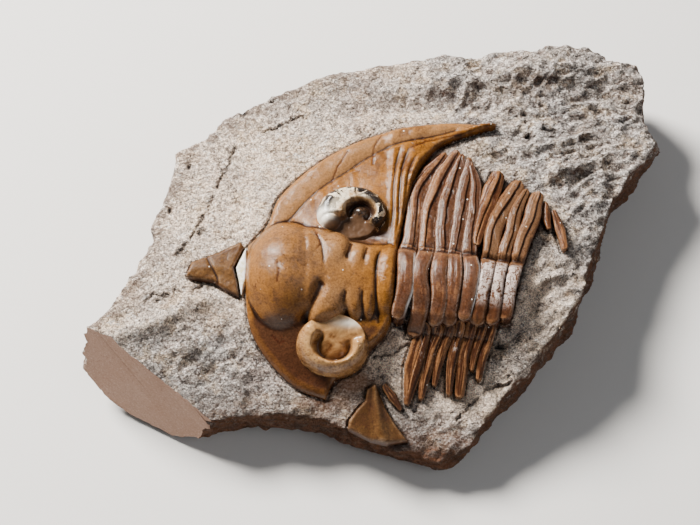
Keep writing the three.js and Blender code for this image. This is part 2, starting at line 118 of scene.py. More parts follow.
LEFT_PLATES = [
    ([(0.7, -26), (2.1, -27.6), (3.7, -29.9)], [0.4, 0.75, 0.25]),
    ([(7.6, -16.9), (5.6, -24), (4.6, -29.1)], [1.2, 1.75, 0.5]),
    ([(9.8, -17), (8.1, -23), (7, -28.3)], [1.25, 1.35, 0.4]),
    ([(12, -17), (10.5, -21.4), (9.4, -26.2)], [1.1, 0.95, 0.4]),
    ([(13.8, -16.8), (12.5, -22.1), (11.9, -27.6)], [1, 0.9, 0.5]),
    ([(15.7, -16.8), (14.3, -22.1), (13.7, -28)], [1.1, 1.2, 0.8]),
    ([(17.4, -17), (16.3, -20.6), (15.6, -23.9)], [0.9, 0.75, 0.4]),
    ([(19.2, -17.2), (17.9, -21.1), (17.1, -25.3)], [0.9, 0.9, 0.5]),
]
LOOSE_TIPS = [
    ([(29.1, 5.6), (29.2, 3.2), (29.9, 0.6)], [0.5, 0.85, 0.3]),
    ([(30.6, 4.2), (31.6, 0.8), (32.3, -3.1)], [0.35, 0.85, 0.5]),
]
TONGUE = [
    (-33.6, -8.3), (-32.2, -8.8), (-28.8, -9.3), (-27, -10.6), (-24.4, -11.8), (-24.9, -8.8), (-25.4, -6.7),
    (-23.7, -2.9), (-24.2, -1.9), (-28, -3.9), (-32.7, -5.7),
]
BREAK_FILLER = [(-23.3, -2.9), (-25, -6.7), (-24.5, -8.8), (-24, -11.6), (-23.2, -9.2), (-23.0, -6)]
STRAY = [
    (-0.7, -25.9), (-2.3, -26.6), (-2.6, -28.4), (-4, -29.8), (-5.4, -31.5), (-5.6, -32.9), (-4, -33.7),
    (-1.6, -34.8), (1.2, -35.4), (4.8, -34.8), (2.9, -32.5), (1.2, -30), (0, -27.6),
]


# ---- small maths, on arrays of millimetres
def soft(t, width):
    return width * np.logaddexp(0.0, t / width)


def ease(a, b, t):
    u = np.clip((t - a) / (b - a), 0.0, 1.0)
    return u * u * (3.0 - 2.0 * u)


def bump(distance, width):
    """1 at no distance, fading out over the width."""
    return np.exp(-((distance / width) ** 2))


def hill(dx, dy, rx, ry):
    return bump(dx, rx) * bump(dy, ry)


def quarter_round(t):
    """From 0 to 1 along a quarter of a circle, steep at first."""
    return np.sqrt(1.0 - (1.0 - np.clip(t, 0.0, 1.0)) ** 2)


def blend_max(heights, width):
    """The highest of several heights, rounded where two meet."""
    return width * np.log(sum(np.exp(h / width) for h in heights))


def smooth_line(corners, count):
    """Points spread evenly along a smooth line through the corners."""
    p = np.array(corners, float)
    t = np.concatenate([[0.0], np.cumsum(np.linalg.norm(np.diff(p, axis=0), axis=1))])
    slope = np.gradient(p, t, axis=0)
    s = np.linspace(0.0, t[-1], count)
    k = np.clip(np.searchsorted(t, s, side="right") - 1, 0, len(t) - 2)
    h = (t[k + 1] - t[k])[:, None]
    u = (s[:, None] - t[k][:, None]) / h
    return (
        (2 * u**3 - 3 * u**2 + 1) * p[k]
        + (u**3 - 2 * u**2 + u) * h * slope[k]
        + (3 * u**2 - 2 * u**3) * p[k + 1]
        + (u**3 - u**2) * h * slope[k + 1]
    )


def directions(line):
    way = np.gradient(line, axis=0)
    return way / np.linalg.norm(way, axis=1)[:, None]


def from_line(x, y, line):
    """Distance from a line, the share of its length at the nearest point, and the side: + left, - right."""
    a = np.array(line, float)
    lengths = np.linalg.norm(np.diff(a, axis=0), axis=1)
    starts = np.concatenate([[0.0], np.cumsum(lengths)])
    best = np.full(x.shape, 1e9)
    share, side = np.zeros(x.shape), np.ones(x.shape)
    for i, length in enumerate(lengths):
        dx, dy = (a[i + 1] - a[i]) / length
        ax, ay = x - a[i][0], y - a[i][1]
        t = np.clip(ax * dx + ay * dy, 0.0, length)
        d = np.hypot(ax - t * dx, ay - t * dy)
        near = d < best
        best[near] = d[near]
        share[near] = ((starts[i] + t) / starts[-1])[near]
        side[near] = np.sign(dx * ay - dy * ax + 1e-12)[near]
    return best, share, side


def distance_to(x, y, line):
    return from_line(x, y, line)[0]


def closed(outline):
    return np.array([*outline, outline[0]], float)


def within(x, y, outline):
    """Which points lie inside a closed outline."""
    inside = np.zeros(x.shape, bool)
    a = np.array(outline, float)
    for (x0, y0), (x1, y1) in zip(a, np.roll(a, -1, axis=0)):
        crosses = (y0 > y) != (y1 > y)
        at = (x1 - x0) * (y - y0) / (y1 - y0 + 1e-12) + x0
        inside ^= crosses & (x < at)
    return inside


def wander(x, y, size, octaves=3, seed=0.0, z=None):
    """Smooth noise about 0, with features of the given size."""
    k = 1.0 / size
    z = np.zeros(len(x)) if z is None else z
    return np.array([
        noise.fractal(Vector((a * k + seed, b * k - seed, c * k + 2.0 * seed)), 1.0, 2.0, octaves)
        for a, b, c in zip(x, y, z)
    ])


def facets(x, y, z, size, seed=0.0):
    """Noise of flat-sided lumps of the given size, from 0 at a lump's middle to about 1 at its edge."""
    k = 1.0 / size
    return np.array([
        noise.voronoi(Vector((a * k + seed, b * k, c * k)), distance_metric="DISTANCE")[0][0]
        for a, b, c in zip(x, y, z)
    ])


# ---- height fields
def axis_y(x):
    """Where the animal's midline lies."""
    return AXIS_Y - AXIS_SLOPE * x


def bed(x, y):
    """The bedding face: level, but falling away on the near side and towards the right."""
    brow = -12.0 - 0.45 * np.maximum(0.0, -30.0 - x)
    fall = 0.47 * soft(brow - y, 2.5) + 0.24 * soft(x - 30.0, 3.0)
    return BED_Z - fall + 1.6 * hill(x - 28, y - 34, 12, 6) - hill(x - 12, y - 25, 16, 3)


def flank(v):
    """The height of the side plates at v from the midline."""
    reach = np.where(v > 0, 26.0, 14.0)
    return 2.4 - 1.4 * ease(0.0, 1.0, (np.abs(v) - 6.0) / reach)


def relief(x, y):
    """The animal's height above the bedding, in broad shape: flanks, mid-rib and frontal lobe."""
    v = y - axis_y(x)
    low = flank(v)
    arch = np.sqrt(np.clip(1.0 - (v / np.interp(x, RIB_X, RIB_HALF)) ** 2, 0.0, 1.0))
    height = np.where(x > LOBE_X, low + (np.interp(x, RIB_X, RIB_TOP) - low) * arch, low)
    r = np.hypot((x - LOBE_X) / LOBE_RX, (y - LOBE_Y) / LOBE_RY)
    return np.maximum(height, LOBE_HEIGHT * np.sqrt(np.clip(1.0 - r * r, 0.0, 1.0)))


def trunk(x, y):
    """The relief, but rounded down gently along the near side of the mid-rib."""
    v = y - axis_y(x)
    low = flank(v)
    rounded = low + (np.interp(x, RIB_X, RIB_TOP) - low) * np.clip(1.0 - (v / 8.2) ** 2, 0.0, 1.0) ** 0.75
    return np.where(v < 0, rounded, relief(x, y))


def mould(x, y):
    """The limestone that fills the animal from below, a little under its plates."""
    under = ease(-25.0, -22.0, x) * (1.0 - ease(25.0, 28.0, x))
    return under * np.maximum(0.0, 0.75 * relief(x, y) - 1.1)


def underside(x, y):
    """How low a plate reaches, sunk a little into its mould."""
    return bed(x, y) + mould(x, y) - 0.5


# ---- modelling by hand
def clear_selection():
    bpy.ops.object.select_all(action="DESELECT")


def read(items, name, width=1, kind=float):
    """An attribute of all the items, one row of the given width each."""
    flat = np.empty(len(items) * width, kind)
    items.foreach_get(name, flat)
    return flat.reshape(-1, width) if width > 1 else flat


def points(piece):
    return read(piece.data.vertices, "co", 3) / MM


def normals(piece):
    return read(piece.data.vertex_normals, "vector", 3)


def place(piece, xyz):
    piece.data.vertices.foreach_set("co", (np.asarray(xyz) * MM).ravel())
    piece.data.update()


def edit(piece, *steps):
    """Runs edit-mode steps on the whole of a piece."""
    bpy.context.view_layer.objects.active = piece
    bpy.ops.object.mode_set(mode="EDIT")
    bpy.ops.mesh.select_all(action="SELECT")
    for step in steps:
        step()
    bpy.ops.object.mode_set(mode="OBJECT")


def face_outwards():
    bpy.ops.mesh.select_all(action="SELECT")
    bpy.ops.mesh.normals_make_consistent(inside=False)


def select_nothing():
    bpy.ops.mesh.select_all(action="DESELECT")
    bpy.ops.object.mode_set(mode="OBJECT")


def apply(piece, kind, **settings):
    """Adds a modifier, sets it up and applies it."""
    bpy.context.view_layer.objects.active = piece
    modifier = piece.modifiers.new(kind.title(), kind)
    for key, value in settings.items():
        setattr(modifier, key, value)
    bpy.ops.object.modifier_apply(modifier=modifier.name)


def raise_by(height):
    bpy.ops.mesh.extrude_region_move(TRANSFORM_OT_translate={"value": (0, 0, height * MM)})


def cut_out(name, outline, height, grain):
    """A flat plate with the outline's shape, remeshed into even quads of the size grain."""
    clear_selection()
    bpy.ops.mesh.primitive_circle_add(vertices=len(outline), radius=1.0, fill_type="NGON")
    piece = bpy.context.object
    piece.name = name
    flat = np.zeros((len(outline), 3))
    flat[:, :2] = outline
    place(piece, flat)
    edit(piece, lambda: raise_by(height), face_outwards)
    apply(piece, "REMESH", mode="VOXEL", voxel_size=grain * MM)
    return piece


def bar(name, along, across):
    """A block of quads over -1..1 along X and Y, from which a plate is bent along its route."""
    clear_selection()
    bpy.ops.mesh.primitive_grid_add(x_subdivisions=along, y_subdivisions=across, size=2.0)
    piece = bpy.context.object
    piece.name = name
    edit(piece, lambda: raise_by(-1.0 / MM), face_outwards)
    return piece


def spread_evenly(piece, values, rounds):
    """Values at the piece's points, each averaged with its neighbours a number of times."""
    a, b = read(piece.data.edges, "vertices", 2, np.int64).T
    n = len(piece.data.vertices)
    count = np.maximum(np.bincount(a, minlength=n) + np.bincount(b, minlength=n), 1)
    values = np.array(values, float)
    columns = values.reshape(n, -1)
    for _ in range(rounds):
        for c in range(columns.shape[1]):
            v = columns[:, c]
            total = np.bincount(a, v[b], minlength=n) + np.bincount(b, v[a], minlength=n)
            columns[:, c] = 0.5 * (v + total / count)
    return columns.reshape(values.shape)


def note(piece, name, values):
    """Stores a number at every point, for the materials."""
    layer = piece.data.attributes.new(name, "FLOAT", "POINT")
    layer.data.foreach_set("value", np.asarray(values, np.float32))


def note_hollows(piece, share=1.0, **scales):
    """Notes how deep each point lies below its surroundings, at each scale, which is given as the rounds of
    spreading and a depth in mm: 0.5 is level, 1 is that depth down in a hollow."""
    xyz, outwards = points(piece), normals(piece)
    for name, (rounds, depth) in scales.items():
        sunk = ((spread_evenly(piece, xyz, rounds) - xyz) * outwards).sum(axis=1)
        note(piece, name, np.clip(0.5 + 0.5 * share * sunk / depth, 0.0, 1.0))


def finish_piece(piece, material, node):
    """Smooths the shading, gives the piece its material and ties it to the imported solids."""
    clear_selection()
    bpy.context.view_layer.objects.active = piece
    piece.select_set(True)
    bpy.ops.object.shade_smooth()
    piece.data.materials.append(material)
    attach(piece, "root")
    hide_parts(node)


# ---- materials
class Wire:
    """A socket in a material; arithmetic on it adds Math nodes."""

    def __init__(self, finish, socket):
        self.finish, self.socket = finish, socket

    def math(self, operation, *values):
        inputs = dict(enumerate(values))
        return self.finish.add("ShaderNodeMath", {"operation": operation}, inputs)

    def __add__(self, other):
        return self.math("ADD", self, other)

    def __sub__(self, other):
        return self.math("SUBTRACT", self, other)

    def __rsub__(self, other):
        return self.math("SUBTRACT", other, self)

    def __mul__(self, other):
        return self.math("MULTIPLY", self, other)

    __radd__, __rmul__ = __add__, __mul__

    def above(self, low, high):
        """0 below low, 1 above high, smooth between."""
        settings = {"interpolation_type": "SMOOTHSTEP"}
        return self.finish.add("ShaderNodeMapRange", settings, {0: self, 1: low, 2: high, 3: 0.0, 4: 1.0})

    def below(self, low, high):
        """1 below low, 0 above high, smooth between."""
        return 1.0 - self.above(low, high)

    def near_zero(self, near, far):
        """1 within near of 0, and 0 further from it than far."""
        return self.math("ABSOLUTE", self).below(near, far)

    def clamped(self):
        return self.math("MAXIMUM", self.math("MINIMUM", self, 1.0), 0.0)


class Finish:
    """A material under construction."""

    def __init__(self, name):
        self.material = bpy.data.materials.new(name)
        self.material.use_nodes = True
        self.nodes = self.material.node_tree.nodes
        self.shader = self.nodes["Principled BSDF"]
        self.place = self.add("ShaderNodeTexCoord", output="Object")

    def add(self, kind, settings=None, inputs=None, output=0):
        node = self.nodes.new(kind)
        for key, value in (settings or {}).items():
            if key == "stops":
                for i, (at, colour) in enumerate(value):
                    stop = node.color_ramp.elements[i] if i < 2 else node.color_ramp.elements.new(at)
                    stop.position, stop.color = at, (*colour, 1.0)
            else:
                setattr(node, key, value)
        for key, value in (inputs or {}).items():
            self.connect(node.inputs[key], value)
        return Wire(self, node.outputs[output])

    def connect(self, socket, value):
        if isinstance(value, Wire):
            self.material.node_tree.links.new(value.socket, socket)
        elif socket.type == "RGBA":
            socket.default_value = (*value[:3], 1.0)
        else:
            socket.default_value = value

    def attribute(self, name):
        return self.add("ShaderNodeAttribute", {"attribute_name": name}, output="Fac")

    def attributes(self, *names):
        return [self.attribute(name) for name in names]

    def noise(self, size, detail=4.0, roughness=0.55, stretch=(1, 1, 1), turn=0.0, warp=0.0):
        """Noise with features of the given size in millimetres."""
        where = self.place
        if stretch != (1, 1, 1) or turn:
            inputs = {"Vector": where, "Rotation": (0, 0, turn), "Scale": stretch}
            where = self.add("ShaderNodeMapping", None, inputs)
        inputs = {"Vector": where, "Scale": 1.0 / (size * MM), "Detail": detail, "Roughness": roughness}
        return self.add("ShaderNodeTexNoise", {"normalize": True}, inputs | {"Distortion": warp})

    def specks(self, size, reach):
        """1 at scattered round specks, 0 elsewhere: one per cell of the given size, of radius reach cells."""
        cell = self.add("ShaderNodeTexVoronoi", None, {"Vector": self.place, "Scale": 1.0 / (size * MM)})
        return cell.below(reach * 0.6, reach)

    def mix(self, share, a, b, blend="MIX"):
        settings = {"data_type": "RGBA", "blend_type": blend}
        return self.add("ShaderNodeMix", settings, {0: share, 6: a, 7: b}, output=2)

    def coats(self, colour, *coats):
        """Lays coats over a colour, each given as its share and its colour."""
        for share, coat in coats:
            colour = self.mix(share, colour, coat)
        return colour

    def times(self, colour, share):
        return self.mix(1.0, colour, share, "MULTIPLY")

    def ramp(self, share, *stops):
        return self.add("ShaderNodeValToRGB", {"stops": stops}, {0: share})

    def done(self, colour, roughness, bumps, specular=0.5):
        """Feeds the shader; bumps lists (height, depth in millimetres)."""
        self.connect(self.shader.inputs["Base Color"], colour)
        self.connect(self.shader.inputs["Roughness"], roughness)
        self.shader.inputs["Specular IOR Level"].default_value = specular
        normal = None
        for height, depth in bumps:
            inputs = {"Height": height, "Distance": depth * MM, "Strength": 1.0}
            if normal:
                inputs["Normal"] = normal
            normal = self.add("ShaderNodeBump", None, inputs)
        if normal:
            self.connect(self.shader.inputs["Normal"], normal)
        return self.material


def limestone(pale, grey, dark):
    """Pale, gritty limestone, darker where it was scraped. Shade is painted in its hollows and pits,
    under the shell and on its flanks, and partly in the seam round the shell; light is painted on its rises
    and in patches beside the shell, and a warm bounce on its flanks.
    """
    f = Finish("limestone")
    hollow, deep, scraped, under = f.attributes("hollow", "deep_hollow", "scraped", "under")
    patches, grit, fine = f.noise(9, 5), f.noise(1.3, 5, 0.7), f.noise(0.50, 2, 0.6)
    specks = f.noise(0.85, 2, 0.6, stretch=(1.0, 1.5, 1.0), turn=0.5, warp=1.0)
    marks = f.noise(1.7, 8, 0.75, stretch=(0.6, 1.5, 1.0), turn=-0.5, warp=0.8)
    colour = f.coats(
        pale,
        ((patches.above(0.35, 0.65) * 0.35 + scraped * 0.6).clamped(), grey),
        (f.noise(3.5, 4).above(0.48, 0.66) * 0.55, (0.70, 0.50, 0.30)),
        (f.noise(14, 3).above(0.5, 0.7) * 0.35, (0.46, 0.33, 0.28)),
        (grit.above(0.49, 0.60) * (0.14 + scraped * 0.26), dark),
        # Painted highlight on the rises and painted shade in the hollows, at two scales.
        (hollow.below(0.2, 0.47) * 0.5, (0.90, 0.82, 0.75)),
        (hollow.above(0.53, 0.80) * 0.5, (0.09, 0.062, 0.05)),
        (deep.above(0.52, 0.9) * 0.25, (0.14, 0.10, 0.085)),
    )
    colour = f.coats(
        f.times(colour, fine.above(0.34, 0.60) * 0.75 + 0.45),
        (specks.above(0.54, 0.61) * (0.35 + scraped * 0.2), (0.15, 0.095, 0.07)),
        (specks.below(0.34, 0.44) * 0.7, (0.95, 0.87, 0.79)),
    )
    colour = f.mix(scraped, colour, f.times(colour, marks.above(0.40, 0.56) * 0.65 + 0.50))
    colour = f.mix(f.attribute("painted_light_patch") * grit.above(0.60, 0.50) * 0.8, colour, pale)
    colour = f.times(colour, f.noise(0.27, 1, 0.5).above(0.3, 0.7) * 0.95 + 0.64)
    strokes = (f.noise(3.2, 6, 0.7, warp=1.2) - 0.5).near_zero(0.010, 0.030)
    # Painted shade and a painted warm bounce on flanks that face away from the light, in two browns.
    flank_shade_and_bounce = f.mix(marks.above(0.4, 0.6), (0.16, 0.062, 0.026), (0.07, 0.03, 0.015))
    fill_left = f.noise(1.8, 4, 0.7).above(0.52, 0.57) * under
    colour = f.coats(
        colour,
        (strokes * f.noise(2.6, 3).above(0.57, 0.62) * 0.9, (0.05, 0.035, 0.03)),
        (f.attribute("rim") * marks.above(0.44, 0.54) * 0.75, (0.13, 0.085, 0.065)),
        (f.attribute("flank") * 0.93, flank_shade_and_bounce),
        (f.attribute("stain") * 0.7, (0.34, 0.14, 0.06)),
        # Painted shade on the stone under the shell and between its pieces.
        (under * 0.85, (0.08, 0.034, 0.014)),
        (fill_left * 0.8, (0.66, 0.60, 0.55)),
        (f.attribute("plaster"), (0.88, 0.86, 0.82)),
        # The seam's dark line, partly dark mineral and partly painted shade, and the dark hairline cracks.
        (f.attribute("seam"), (0.012, 0.006, 0.004)),
        # Painted shade in the pits.
        (f.attribute("pit"), (0.01, 0.008, 0.008)),
    )
    return f.done(colour, 0.92, [(grit, 1.3), (marks, 1.1), (specks, 0.60), (fine, 0.35)], specular=0.2)


def sawn_stone():
    """The slab's flat sawn end: even and finely scored, brownish partly in its own colour and partly as
    a painted warm reflection.
    """
    f = Finish("sawn_stone")
    fine, patches = f.noise(0.34, 5, 0.75), f.noise(5, 4)
    score = f.noise(0.5, 2, 0.5, stretch=(0.15, 1.0, 1.0), turn=0.5)
    colour = f.coats(
        (0.36, 0.215, 0.15),
        (patches.above(0.3, 0.7) * 0.35, (0.43, 0.29, 0.22)),
        (fine.above(0.5, 0.7) * 0.5, (0.62, 0.46, 0.38)),
        (fine.below(0.34, 0.45) * 0.5, (0.13, 0.07, 0.05)),
    )
    return f.done(colour, 0.85, [(fine, 0.08), (score, 0.04)], specular=0.3)


def shell(name, light, mid, deep, furrow, roughness=0.13, wear_and_rim_highlight=0.0, specular=0.22):
    """Mineralised shell: brown and glossy, with cracks; shade is painted in its furrows, creases and along
    ring edges, highlights on its crests, edges and ring rims, and white specks as glints.
    """
    f = Finish(name)
    hollow, fine_hollow, tone = f.attributes("hollow", "fine_hollow", "tone")
    cloud, mottle = f.noise(5.5, 4, 0.6, warp=0.6), f.noise(1.1, 6, 0.75, warp=0.8)
    grain = f.noise(0.35, 4, 0.7)
    level = (cloud * 0.6 + mottle * 0.7 + tone * 0.5 - 0.15).clamped()
    colour = f.coats(
        f.ramp(level, (0.30, deep), (0.5, mid), (0.74, light)),
        (f.attribute("grey") * 0.55, (0.22, 0.125, 0.065)),
        # Painted highlight on rises, and painted shade in furrows and fine creases.
        (hollow.below(0.25, 0.5) * 0.45, light),
        (hollow.above(0.51, 0.78) * 0.9, furrow),
        (fine_hollow.above(0.54, 0.80) * 0.75, furrow),
        # Painted highlight along raised edges.
        (fine_hollow.below(0.10, 0.38) * mottle.above(0.45, 0.65) * 0.35, (0.42, 0.26, 0.14)),
    )
    # A pale coat where the shell is rubbed, and along the ring rims a painted highlight line.
    if wear_and_rim_highlight:
        wear_and_highlight_breakup = f.noise(1.5, 5, 0.7, stretch=(1.6, 0.6, 1.0)).above(0.66 - 0.3 * wear_and_rim_highlight, 0.76 - 0.3 * wear_and_rim_highlight)
        cracked = f.noise(1.0, 5, 0.8, warp=1.0).above(0.42, 0.50)
        colour = f.mix(wear_and_highlight_breakup * f.attribute("wear_and_rim_highlight") * cracked * 0.9, colour, (0.50, 0.40, 0.35))
    stains = f.noise(0.9, 6, 0.8, warp=1.5).above(0.56, 0.66)
    veins = (f.noise(5.0, 4, 0.65, warp=0.8) - 0.5).near_zero(0.002, 0.009)
    colour = f.coats(
        colour,
        (stains * 0.5, (0.045, 0.011, 0.005)),
        (veins * f.noise(6, 2).above(0.5, 0.56) * 0.8, (0.035, 0.009, 0.004)),
        # Cracks and scratches on the head, and painted shade lines along ring edges and plate furrows.
        (f.attribute("marks_and_shade_lines") * 0.85, (0.04, 0.009, 0.004)),
        (f.attribute("filled") * 0.9, (0.78, 0.76, 0.72)),
    )
    colour = f.times(colour, grain.above(0.34, 0.64) * 0.5 + 0.72)
    # Painted glints: small white specks over the shell.
    colour = f.mix(f.specks(2.2, 0.07), colour, (0.85, 0.8, 0.72))
    rough = roughness + mottle * 0.08 + hollow.above(0.55, 0.8) * 0.2
    return f.done(colour, rough, [(mottle, 0.09), (grain, 0.04)], specular=specular)


def eye_lens(name, light, mid, deep, speckle):
    """The eye: paler than the shell, with rows of lenses round its outer wall and dark speckles; shade is
    painted in its hollows and groove, and a highlight on the left eye.
    """
    f = Finish(name)
    hollow, fine_hollow, band, tone = f.attributes("hollow", "fine_hollow", "band", "tone")
    cloud, blots = f.noise(1.6, 4, 0.6, warp=0.6), f.noise(1.7, 4, 0.7, warp=1.0)
    blotches = (blots + band * 0.14).above(0.565, 0.59) * (band * speckle * 1.4).clamped()
    rows = f.specks(0.44, 0.42) * f.attribute("lenses")
    colour = f.coats(
        f.ramp((cloud * 0.7 + tone * 0.5).clamped(), (0.22, deep), (0.42, mid), (0.62, light)),
        # Painted shade in the eye's hollows and fine creases.
        (hollow.above(0.54, 0.8) * 0.7, (0.07, 0.025, 0.012)),
        (fine_hollow.above(0.53, 0.8) * 0.5, (0.12, 0.05, 0.02)),
        # Painted shade in the groove round the pit.
        (f.attribute("pit") * (0.35 + 0.62 * speckle), (0.014, 0.006, 0.004)),
        (blotches, (0.012, 0.008, 0.006)),
        (rows * 0.45, deep),
        # A pale patch at the right eye's front end, and a painted highlight on the left eye.
        (f.attribute("blob"), (0.80, 0.76, 0.66)),
    )
    return f.done(colour, 0.20 + blots * 0.12, [(blots, 0.06), (rows, -0.05)], specular=0.4)


def plaster():
    """Pale filler pressed into the break."""
    f = Finish("break_filler")
    lumps = f.noise(0.7, 4, 0.6)
    colour = f.mix(lumps.above(0.4, 0.65), (0.86, 0.84, 0.80), (0.62, 0.55, 0.33))
    return f.done(colour, 0.6, [(lumps, 0.12)], specular=0.4)


# ---- the limestone slab
HAIRLINES = [
    [(-25.7, 17.0), (-26.4, 13.9), (-28.3, 10.1), (-29.4, 7.0), (-31.2, 2.8), (-33.1, -0.9), (-35.2, -4.2)],
    [(-31.6, -0.2), (-30.9, 0.5), (-30.1, 0.4)],
    [(-38.5, -12.5), (-35.4, -10.4), (-33.2, -11.0), (-30.9, -9.8)],
    [(-20.5, 19.8), (-17.6, 20.9), (-15.0, 22.6), (-12.5, 23.0)],
    [(13.5, -31.5), (15.8, -28.8), (19.5, -26.2), (22.6, -25.5)],
    [(-41.5, -13.5), (-39.2, -11.2), (-36.8, -11.9)],
    [(-1.0, -21.6), (0.8, -21.2), (2.2, -20.8), (3.6, -20.0), (5.0, -19.6)],
]
RIDGES = [  # line, width, height
    ([(-46.1, -19.1), (-37.1, -15.6), (-32.9, -12.6), (-26.9, -11.5)], 1.3, 0.88),
    ([(9, 29.5), (19, 30.5), (30, 32), (40, 33.5)], 2.0, 1.1),
    ([(24.0, -9.8), (27.2, -10.6), (29.4, -8.2), (31.6, -6.8)], 0.8, 1.21),
    ([(25.2, 16.2), (32, 17.4), (38, 20.6)], 1.2, 0.88),
    ([(30.5, 12.2), (35, 12.8), (41, 16)], 1.0, 0.77),
    ([(33.4, 3.6), (35.6, 6.5), (39.6, 7.3)], 0.9, 0.88),
    ([(24.5, -17.5), (28.5, -14.8), (32.8, -12.4)], 1.1, 0.77),
]
TRENCHES = [  # line, width, depth
    ([(-6, 23.6), (4, 25), (14, 25.4), (23, 24)], 1.7, 0.63),
    ([(29.4, 9.6), (33.5, 9.9), (38.5, 13.4)], 0.8, 0.56),
    ([(24, 13.4), (29.5, 14.4), (34.5, 15.6)], 0.8, 0.56),
]
CRACK_DEPTH, PIT_DEPTH, SEAM_DEPTH, PLASTER_HEIGHT = 0.4, 0.9, 0.6, 1.5
PITS = [  # x, y, half sizes
    (20.7, -19.9, 0.9, 0.7), (26.9, 19.2, 0.5, 0.8), (26.5, 23.4, 0.8, 0.5), (38.4, -2.4, 1.4, 0.8),
    (30.4, 20.4, 0.9, 0.5), (-36.9, 4.2, 0.5, 0.5), (-33.8, 13.1, 0.5, 0.6), (-24.2, 23.6, 0.7, 0.5),
    (-19.0, 25.6, 0.8, 0.4), (11.2, -20.3, 0.4, 0.3),
]
PLASTER_LINES = [
    [(16.6, -3.9), (16.3, -8.0), (16.2, -12.2), (16.4, -14.8)],
    [(5.9, -9.2), (5.4, -11.5), (5.0, -14.0)],
]


def shell_outlines():
    """Closed outlines of everything that lies on the limestone."""
    head = np.concatenate([smooth_line(part, 40) for part in (CHEEK_EDGE, BACK_EDGE, LEFT_BREAK, LEFT_EDGE)])
    outlines = [head, closed(TONGUE), closed(STRAY)]
    for route, widths in SEGMENTS + [LONE_PLATE] + LEFT_PLATES + LOOSE_TIPS:
        centre = smooth_line(route, 24)
        way = directions(centre)
        half = np.interp(np.linspace(0, 1, 24), np.linspace(0, 1, len(widths)), widths)[:, None]
        side = np.stack([way[:, 1], -way[:, 0]], axis=1) * half
        outlines.append(np.concatenate([centre + side, (centre - side)[::-1], (centre + side)[:1]]))
    return outlines


def rock_zones(x, y):
    """How far the stone was scraped at the right, on the near slope and at the back, and the zones beside
    the shell where light is painted on the stone and it is scraped less.
    """
    right = ease(15, 25, x + 0.35 * y)
    brow = -13.0 - 0.25 * np.maximum(0, -30 - x)
    slope = ease(0, -5, y - brow) * (1 - right)
    back = 0.8 * hill(x - 10, y - 27, 30, 4.5) * (1 - right)
    # Zones in the shell's shadow where light is painted on the stone.
    painted_light_zone = np.max([
        hill(x - 3, y + 21.5, 9, 6), 0.8 * hill(x - 14, y + 27, 9, 4), 0.7 * hill(x - 27, y + 12, 8, 8),
    ], axis=0)
    return right, slope, back, painted_light_zone


def scoops(x, y, size, seed):
    """Shallow scoops with sharp ridges between them."""
    return 0.3 - 0.9 * np.tanh(2.4 * np.abs(wander(x, y, size, 2, seed)))


